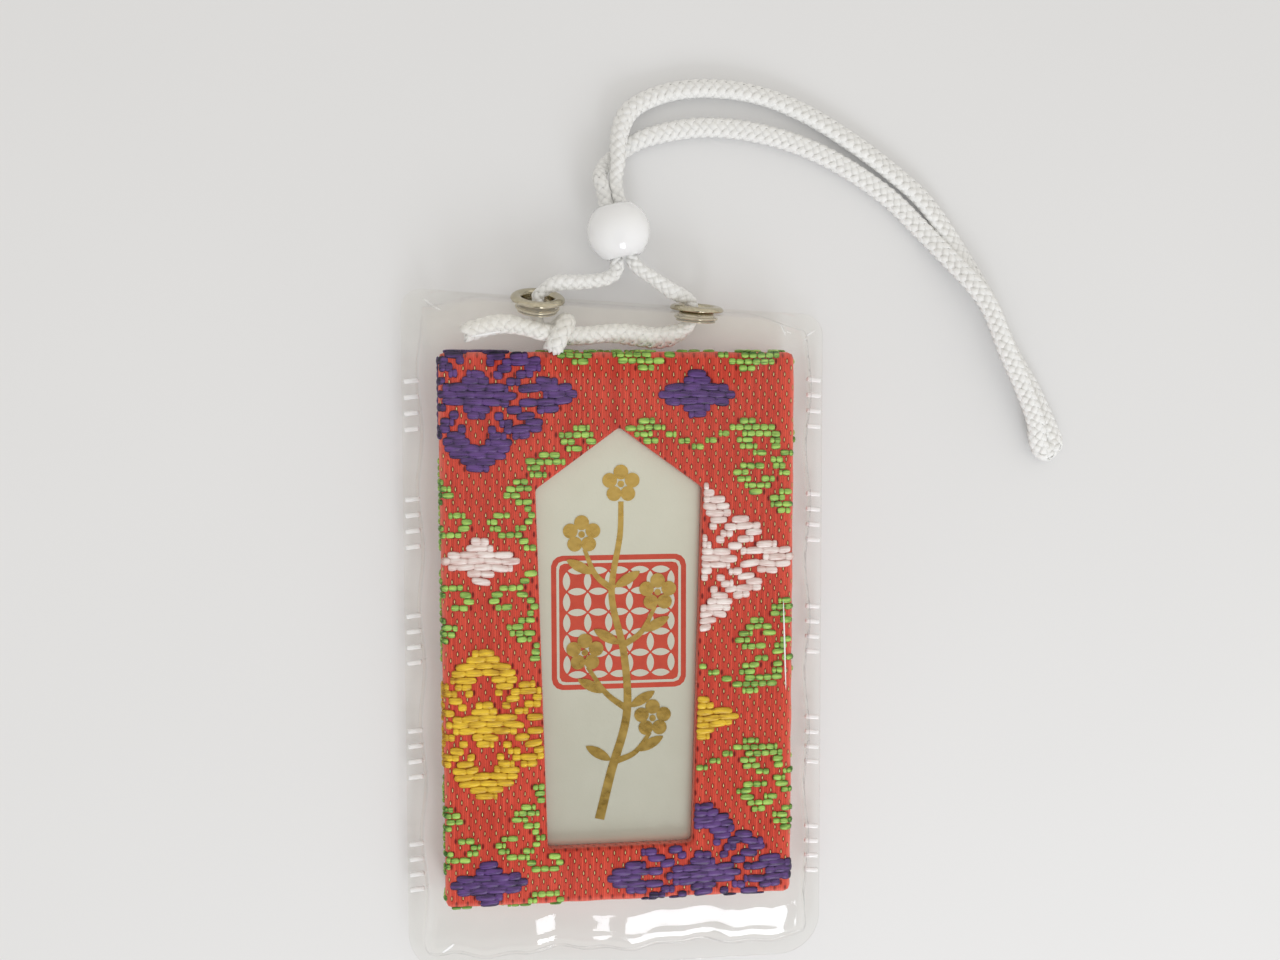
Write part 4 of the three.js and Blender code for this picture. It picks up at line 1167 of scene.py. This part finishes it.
# Eyelets: pressed rings of nickelled brass, each a flanged barrel through the fold and a washer behind it.
# The barrel's end is rolled over the washer, so the two hold the film between them.
EYELET_PLACES = {"left": (-8.98, 37.03, 3.7), "right": (8.89, 35.97, 3.7)}
EYELET_BORE = 1.75
EYELET_WALL = 0.25
EYELET_FLANGE = 3.05
EYELET_SEAT = 0.2
EYELET_CROWN = 0.6
FLANGE_EDGE = 0.12
FLANGE_LIP = 0.1
EYELET_ROLL = 0.2
ROLL_EASE = 0.02
ROLL_DROP = 0.05
ROLL_REACH = 0.15
ROLL_HALF_WIDTH = 0.12
WASHER_RADIUS = 2.5
WASHER_ROUND = 0.17
WASHER_CLEAR = 0.15
WASHER_TOP = -0.4
WASHER_FOOT = -0.75
ROLL_TOP = -0.85
EYELET_LEANS = {"left": math.radians(21), "right": math.radians(8)}
EYELET_SEGMENTS = 48


def spun(bm, profile, segments):
    """Spins a closed profile of (radius, height) points round +Y."""
    verts = [bm.verts.new((radius * MM, height * MM, 0)) for radius, height in profile]
    edges = [bm.edges.new((a, b)) for a, b in zip(verts, verts[1:] + verts[:1])]
    bmesh.ops.spin(bm, geom=verts + edges, cent=(0, 0, 0), axis=(0, 1, 0), angle=2 * math.pi,
                   steps=segments, use_merge=True)
    bmesh.ops.remove_doubles(bm, verts=bm.verts, dist=1e-7)


def arc(middle, radii, start, end, steps):
    angles = [math.radians(lerp(start, end, i / steps)) for i in range(steps + 1)]
    return [(middle[0] + radii[0] * math.cos(a), middle[1] + radii[1] * math.sin(a)) for a in angles]


barrel = EYELET_BORE + EYELET_WALL
flange_middle = ((EYELET_BORE + EYELET_FLANGE) / 2, EYELET_SEAT + FLANGE_EDGE)
flange_radii = ((EYELET_FLANGE - EYELET_BORE) / 2, EYELET_CROWN - FLANGE_EDGE)
eyelet_profile = [(barrel, ROLL_TOP), (barrel, EYELET_SEAT), (EYELET_FLANGE - FLANGE_LIP, EYELET_SEAT)]
eyelet_profile += arc(flange_middle, flange_radii, 0, 180, 14)
roll_radii = (EYELET_WALL + ROLL_EASE, EYELET_ROLL - ROLL_DROP)
eyelet_profile += arc((barrel + ROLL_EASE, ROLL_TOP - ROLL_DROP), roll_radii, 180, 270, 4)
roll_end_radii = (ROLL_HALF_WIDTH, EYELET_ROLL / 2)
eyelet_profile += arc((barrel + ROLL_REACH, ROLL_TOP - EYELET_ROLL / 2), roll_end_radii, 270, 450, 6)
washer_bore = barrel + WASHER_CLEAR
washer_middle = (WASHER_RADIUS - WASHER_ROUND, (WASHER_TOP + WASHER_FOOT) / 2)
washer_profile = arc(washer_middle, (WASHER_ROUND, WASHER_ROUND), -90, 90, 6)
washer_profile += [(washer_bore, WASHER_TOP), (washer_bore, WASHER_FOOT)]

# Nickelled brass: a warm pale metal, polished, with hair scratches about 0.3 mm apart.
nickel, nickel_shader = finish_of("nickelled_brass", {"Metallic": 1.0})
nickel_object = add(nickel, "TexCoord", {}, output="Object")
nickel_wear = add(nickel, "TexNoise", {"Vector": nickel_object, "Scale": 1 / (0.3 * MM), "Detail": 3.0})
nickel_tone = add(nickel, "ValToRGB", {"Fac": nickel_wear})
nickel_tone.node.color_ramp.elements[0].color = linear("#a39a80")
nickel_tone.node.color_ramp.elements[1].color = linear("#d9d1bb")
nickel_rough = add(nickel, "MapRange", {"Value": nickel_wear, "To Min": 0.08, "To Max": 0.2})
nickel_bump = add(nickel, "Bump", {"Height": nickel_wear, "Strength": 0.1, "Distance": 0.03 * MM})
feed(nickel, nickel_shader, {"Base Color": nickel_tone, "Roughness": nickel_rough, "Normal": nickel_bump})

for side, spot in EYELET_PLACES.items():
    stand = Matrix.Translation(place(*spot)) @ Matrix.Rotation(-HEAD_TURN, 4, "Z")
    stand = stand @ Matrix.Rotation(EYELET_LEANS[side], 4, "X")
    for suffix, profile in (("eyelet", eyelet_profile), ("eyelet_washer", washer_profile)):
        bm = bmesh.new()
        spun(bm, profile, EYELET_SEGMENTS)
        bmesh.ops.transform(bm, matrix=stand, verts=bm.verts)
        made = piece(f"{side}_{suffix}_ring", bm, nickel, "pouch")
        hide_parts(f"{side}_{suffix}")

# Cord: one length of white polyester braid, eight yarns plaited round a thin core. It runs from the knot in
# the pouch through the left eyelet and the bead, round the hanging loop, back through the bead and the right
# eyelet, through the knot, and ends there, cut and fused. In the bead its two strands are squeezed together.
BEAD_CENTRE = Vector((0.1, 44.9, 3.5))
BEAD_TURN = math.radians(11.5)
STRAND_OFFSET = 0.78
TABLE_REST = 0.97
bead_along = Vector((-math.sin(BEAD_TURN), math.cos(BEAD_TURN), 0))
bead_across = Vector((math.cos(BEAD_TURN), math.sin(BEAD_TURN), 0))


def strand(side, along):
    return tuple(BEAD_CENTRE + side * STRAND_OFFSET * bead_across + along * bead_along)


KNOT_WRAP = [
    (-7.35, 31.8, 4.95), (-6.85, 32.9, 5.4), (-6.2, 34.1, 5.2), (-5.8, 34.9, 4.2), (-6.1, 34.8, 2.8),
    (-7, 34.1, 2.1), (-8.1, 33.85, 2.4),
]
LEFT_TAIL = [(-9, 34.1, 3.05), (-9.05, 35, 3.2), (-9, 36, 3.5), (-8.95, 37.13, 3.72)]
LEFT_LEG = [
    (-8.86, 37.8, 3.83), (-8.35, 38.25, 3.95), (-7.6, 38.8, 4.1), (-6.4, 39.15, 4.2), (-4.6, 39.2, 4.2),
    (-2.9, 39.35, 4), (-1.2, 39.7, 3.8), (-0.25, 40.4, 3.6),
]
LOOP = [
    strand(-1, -3), strand(-1, 2), strand(-1, 5.2), (-1.95, 50.7, 3.05), (-1.2, 52.4, 1.4),
    (0.6, 53.9, TABLE_REST), (2.9, 55.4, TABLE_REST), (9.6, 56.9, TABLE_REST), (16.6, 56.4, TABLE_REST),
    (24, 54.1, TABLE_REST), (31.5, 49.7, TABLE_REST), (36.2, 45.4, 1.2), (38.9, 42.55, 1.85),
    (41.6, 39.6, 2.6), (43.65, 36.95, 2.75), (46.15, 31.4, 2.75), (48.1, 27.6, 2.5), (50, 23.3, 2.1),
    (50.55, 21, 1.6), (51.6, 19.55, 1.2), (52.85, 20.6, 1), (52.1, 22.6, TABLE_REST),
    (49.55, 27.6, TABLE_REST), (47.15, 31.45, TABLE_REST), (44.4, 37, TABLE_REST), (40.9, 42.6, TABLE_REST),
    (36.2, 48.95, TABLE_REST), (32.2, 52.3, TABLE_REST), (27.6, 55.5, TABLE_REST), (21.5, 58.9, TABLE_REST),
    (15.5, 60.85, TABLE_REST), (9, 61.2, TABLE_REST), (4.5, 60.2, TABLE_REST), (1.4, 58.2, 1.65),
    (0.25, 55.2, 2.6), (0.1, 52.6, 3.3), strand(1, 5.2), strand(1, 2), strand(1, -3),
]
RIGHT_LEG = [
    (2.4, 40.75, 3.7), (3.6, 39.95, 3.9), (4.95, 39, 4.1), (6.3, 38.15, 4.25), (7.35, 37.7, 4.2),
    (8.15, 37.15, 4), (8.36, 36.78, 3.86),
]
RIGHT_TAIL = [
    (8.42, 36.12, 3.73), (8.4, 35.1, 3.45), (7.6, 34.1, 3.1), (5.8, 33.25, 3), (4, 33.1, 3.1),
    (2.3, 33.3, 3.3), (-0.5, 33.6, 3.5), (-4, 33.3, 3.65),
]
CUT_END = [
    (-6.4, 33.35, 3.75), (-8.7, 33.7, 5), (-10.5, 34.2, 5.1), (-12.7, 34.55, 5), (-14.8, 34.25, 4.8),
    (-17, 33.55, 4.5),
]
ROUTE = KNOT_WRAP + LEFT_TAIL + LEFT_LEG + LOOP + RIGHT_LEG + RIGHT_TAIL + CUT_END
# The soft braid lies flat and wide, and is drawn in where the bead and the eyelets hold it: the middle of
# each hold, how far it reaches, over what distance the braid spreads out again, and its width there.
BRAID_SPREAD = 1.35
BRAID_HOLDS = [
    (BEAD_CENTRE, 5, 9, 0.86), (Vector(EYELET_PLACES["left"]), 1, 4, 0.74),
    (Vector(EYELET_PLACES["right"]), 1, 4, 0.74),
]
# Between the right eyelet and the knot the braid hangs slack and wider.
SLACK_MIDDLE = Vector((3.8, 33.1, 3.1))
SLACK_REACH = 3
SLACK_SPREAD = 1.65
YARNS_EACH_WAY = 4
BRAID_PITCH = 4.1
BRAID_RADIUS = 0.655
BRAID_WEAVE = 0.1
YARN_HALF_WIDTH = 0.43
YARN_HALF_THICKNESS = 0.15
YARN_SIDES = 6
YARN_SPREADING = 0.7
CORE_RADIUS = 0.5
CORE_STRIDE = 4
BRAID_STEP = 0.2
FIBRE_LENGTH = 2
FIBRES_ROUND_YARN = 6.5


def carried_frames(points):
    """A tangent, a normal and a binormal at each point, with no twist of their own."""
    frames = []
    normal = Vector((0, 0, 1))
    for i, point in enumerate(points):
        tangent = (points[min(i + 1, len(points) - 1)] - points[max(i - 1, 0)]).normalized()
        normal = (normal - normal.dot(tangent) * tangent).normalized()
        frames.append((tangent, normal, tangent.cross(normal)))
    return frames


# Spun polyester yarn, bleached white: a soft sheen and fine fibres along each yarn.
# Six or seven streaks to a yarn stand for its fibres, far coarser than they are, so that they show.
cord_white, cord_shader = finish_of("polyester_braid_white", {
    "Roughness": 0.62, "Sheen Weight": 0.25, "Sheen Roughness": 0.4, "IOR": 1.5})
cord_uv = add(cord_white, "UVMap", {})
cord_fibre_scale = (1 / FIBRE_LENGTH, FIBRES_ROUND_YARN, 1)
cord_fibre_space = add(cord_white, "Mapping", {"Vector": cord_uv, "Scale": cord_fibre_scale})
cord_fibre = add(cord_white, "TexNoise", {"Vector": cord_fibre_space, "Scale": 1.0, "Detail": 2.0})
cord_tone = add(cord_white, "ValToRGB", {"Fac": cord_fibre})
cord_tone.node.color_ramp.elements[0].color = linear("#e6e6e4")
cord_tone.node.color_ramp.elements[1].color = linear("#fbfbf9")
cord_bump = add(cord_white, "Bump", {"Height": cord_fibre, "Strength": 0.5, "Distance": 0.05 * MM})
feed(cord_white, cord_shader, {"Base Color": cord_tone, "Normal": cord_bump})

cord_points, cord_length = curve_through(ROUTE, BRAID_STEP)
cord_frames = carried_frames(cord_points)
cord_steps = len(cord_points) - 1
bm = bmesh.new()


def spread(point):
    """How wide the braid lies at a point, against a round one."""
    slack = smoothly(1 - ((point - SLACK_MIDDLE).length - SLACK_REACH) / SLACK_REACH)
    loose = lerp(BRAID_SPREAD, SLACK_SPREAD, slack)
    widths = [lerp(width, loose, smoothly(((point - middle).length - reach) / run))
              for middle, reach, run, width in BRAID_HOLDS]
    return min(widths)


cord_spread = [spread(point) for point in cord_points]


def yarn_centre(i, way, start_angle):
    along = i * BRAID_STEP
    angle = way * 2 * math.pi * along / BRAID_PITCH + start_angle
    radius = BRAID_RADIUS + way * BRAID_WEAVE * math.cos(2 * math.pi * YARNS_EACH_WAY * along / BRAID_PITCH)
    _, normal, binormal = cord_frames[i]
    outward = math.cos(angle) * normal + math.sin(angle) * cord_spread[i] * binormal
    return cord_points[i] + radius * outward, outward.normalized()


for way in (1, -1):
    for k in range(YARNS_EACH_WAY):
        centres = [yarn_centre(i, way, k * 2 * math.pi / YARNS_EACH_WAY) for i in range(cord_steps + 1)]

        def yarn_point(u, v):
            i = round(u * cord_steps)
            centre, outward = centres[i]
            run = centres[min(i + 1, cord_steps)][0] - centres[max(i - 1, 0)][0]
            across = run.cross(outward).normalized()
            angle = v * 2 * math.pi
            half_width = YARN_HALF_WIDTH * lerp(1, cord_spread[i], YARN_SPREADING)
            offset = half_width * math.sin(angle) * across + YARN_HALF_THICKNESS * math.cos(angle) * outward
            return place(*(centre + offset))

        rolled_tube(bm, cord_steps, YARN_SIDES, yarn_point, lambda u, v: (u * cord_length, v + k))


def core_point(u, v):
    i = round(u * (cord_steps // CORE_STRIDE)) * CORE_STRIDE
    _, normal, binormal = cord_frames[i]
    angle = v * 2 * math.pi
    outward = math.cos(angle) * normal + math.sin(angle) * cord_spread[i] * binormal
    return place(*(cord_points[i] + CORE_RADIUS * outward))


rolled_tube(bm, cord_steps // CORE_STRIDE, YARN_SIDES, core_point, lambda u, v: (u * cord_length, v))
cord = piece("hanging_cord", bm, cord_white, "pouch")
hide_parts("cord_knot", "cord_left_tail", "cord_left_leg", "cord_loop",
            "cord_right_leg", "cord_right_tail", "cord_cut_end")

# Bead: a moulded white ball, 7 mm across, with a bore wide enough for two strands of the cord.
# It slides on them and draws the loop's two sides together.
BEAD_RADIUS = 3.5
BEAD_BORE = 1.65
BEAD_LIP = 0.25
BEAD_LIP_DEPTH = 0.2
BEAD_STEPS = 36
BEAD_LIP_STEPS = 4
BEAD_SEGMENTS = 64


def bead_profile():
    mouth = math.acos((BEAD_BORE + BEAD_LIP) / BEAD_RADIUS)
    outer = [lerp(-mouth, mouth, i / BEAD_STEPS) for i in range(BEAD_STEPS + 1)]
    points = [(BEAD_RADIUS * math.cos(a), BEAD_RADIUS * math.sin(a)) for a in outer]
    top = BEAD_RADIUS * math.sin(mouth)
    lip = [lerp(0.25, 1, i / BEAD_LIP_STEPS) * math.pi / 2 for i in range(BEAD_LIP_STEPS + 1)]
    upper = [(BEAD_BORE + BEAD_LIP * (1 - math.sin(a)), top - BEAD_LIP_DEPTH * (1 - math.cos(a)))
             for a in lip]
    lower = [(radius, -height) for radius, height in reversed(upper)]
    return points + upper + lower


# Glossy moulded acrylic: a clean white with a soft inner glow and a sharp highlight.
# A faint orange-peel ripple, about 1.5 mm long, breaks the highlight's edge.
bead_white, bead_shader = finish_of("moulded_acrylic_white", {
    "Base Color": linear("#fafbfc"), "IOR": 1.49, "Coat Weight": 0.5, "Coat Roughness": 0.06,
    "Subsurface Weight": 0.7, "Subsurface Radius": (1, 1, 0.95), "Subsurface Scale": 3 * MM})
bead_object = add(bead_white, "TexCoord", {}, output="Object")
bead_ripple = add(bead_white, "TexNoise", {"Vector": bead_object, "Scale": 1 / (1.5 * MM), "Detail": 1.0})
bead_bump = add(bead_white, "Bump", {"Height": bead_ripple, "Strength": 0.12, "Distance": 0.05 * MM})
bead_rough = add(bead_white, "MapRange", {"Value": bead_ripple, "To Min": 0.1, "To Max": 0.18})
feed(bead_white, bead_shader, {"Normal": bead_bump, "Roughness": bead_rough})

bm = bmesh.new()
spun(bm, bead_profile(), BEAD_SEGMENTS)
bead_turn = Matrix.Translation(place(*BEAD_CENTRE)) @ Matrix.Rotation(BEAD_TURN, 4, "Z")
bmesh.ops.transform(bm, matrix=bead_turn, verts=bm.verts)
bead = piece("white_bead", bm, bead_white, "bead")
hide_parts("bead")

# Floor and light: a pale plain table in an evenly lit room. A window beyond the foot lights the charm, and
# only its brightest pane is mirrored. One side of the room is darker, which the silver paper mirrors.
FLOOR_HALF = 1.5
FLOOR_GLOW = 0.12
FLOOR_DROP = 0.05
WINDOW_COLOUR = "#f4f8ff"
KEY_PLACE = (80, -330, 290)
KEY_AIM = (0, 0, 0)
KEY_SIZE = (420, 420)
KEY_POWER = 0.44
PANE_PLACE = (86, -310, 210)
PANE_AIM = (14, -34, 0)
PANE_SIZE = (110, 140)
PANE_POWER = 0.43
ROOM_BRIGHT_WAY = (0.6, 0.25, 0.76)
ROOM_LEVELS = (0.64, 0.95)
ROOM_DARK_WAY = (0.05, -0.6, 0.8)
ROOM_DARK_EDGE = (0.86, 0.97)
ROOM_DARK_LEVEL = 0.12

# The table is painted white and lit a little from itself, for the camera and for what mirrors it.
floor_pale, floor_shader = finish_of("pale_table", {"Roughness": 0.9, "Emission Color": linear("#ffffff")})
floor_object = add(floor_pale, "TexCoord", {}, output="Object")
floor_mottle = add(floor_pale, "TexNoise", {"Vector": floor_object, "Scale": 1 / (60 * MM)})
floor_tone = add(floor_pale, "ValToRGB", {"Fac": floor_mottle})
floor_tone.node.color_ramp.elements[0].color = linear("#d2d2d2")
floor_tone.node.color_ramp.elements[1].color = linear("#d7d7d7")
floor_path = add(floor_pale, "LightPath", {}, output="Is Camera Ray")
floor_seen = add(floor_pale, "Math", {0: floor_path, 1: floor_path.node.outputs["Is Glossy Ray"]},
                 operation="MAXIMUM")
floor_seen = add(floor_pale, "Math", {0: floor_seen, 1: floor_path.node.outputs["Is Transmission Ray"]},
                 operation="MAXIMUM")
floor_glow = add(floor_pale, "Math", {0: floor_seen, 1: FLOOR_GLOW}, operation="MULTIPLY")
feed(floor_pale, floor_shader, {"Base Color": floor_tone, "Emission Strength": floor_glow})
bm = bmesh.new()
bmesh.ops.create_grid(bm, x_segments=1, y_segments=1, size=FLOOR_HALF)
bmesh.ops.translate(bm, verts=bm.verts, vec=(0, 0, -FLOOR_DROP * MM))
floor_mesh = bpy.data.meshes.new("table")
bm.to_mesh(floor_mesh)
bm.free()
floor_mesh.materials.append(floor_pale)
link("table", floor_mesh)


def lamp(name, spot, aim, size, power, mirrored):
    data = bpy.data.lights.new(name, "AREA")
    data.shape = "RECTANGLE"
    data.size = size[0] * MM
    data.size_y = size[1] * MM
    data.energy = power
    data.color = linear(WINDOW_COLOUR)[:3]
    made = link(name, data)
    made.visible_glossy = mirrored
    made.location = place(*spot)
    made.rotation_euler = (place(*aim) - place(*spot)).to_track_quat("-Z", "Y").to_euler()


lamp("window_light", KEY_PLACE, KEY_AIM, KEY_SIZE, KEY_POWER, False)
lamp("window_pane", PANE_PLACE, PANE_AIM, PANE_SIZE, PANE_POWER, True)

world = bpy.data.worlds.new("soft_room")
bpy.context.scene.world = world
world.use_nodes = True
room_way = add(world, "TexCoord", {}, output="Generated")
room_turn = add(world, "VectorMath", {0: room_way, 1: ROOM_BRIGHT_WAY}, output="Value",
                operation="DOT_PRODUCT")
room_level = add(world, "MapRange", {"Value": room_turn, "From Min": -1.0, "From Max": 1.0,
                                     "To Min": ROOM_LEVELS[0], "To Max": ROOM_LEVELS[1]})
room_dark_turn = add(world, "VectorMath", {0: room_way, 1: ROOM_DARK_WAY}, output="Value",
                     operation="DOT_PRODUCT")
room_dark = add(world, "MapRange", {
    "Value": room_dark_turn, "From Min": ROOM_DARK_EDGE[0], "From Max": ROOM_DARK_EDGE[1],
    "To Min": 1.0, "To Max": ROOM_DARK_LEVEL})
room_lit = add(world, "Math", {0: room_level, 1: room_dark}, operation="MULTIPLY")
feed(world, world.node_tree.nodes["Background"], {"Color": linear("#f9f6f1"), "Strength": room_lit})
bpy.context.scene.view_settings.view_transform = "Standard"
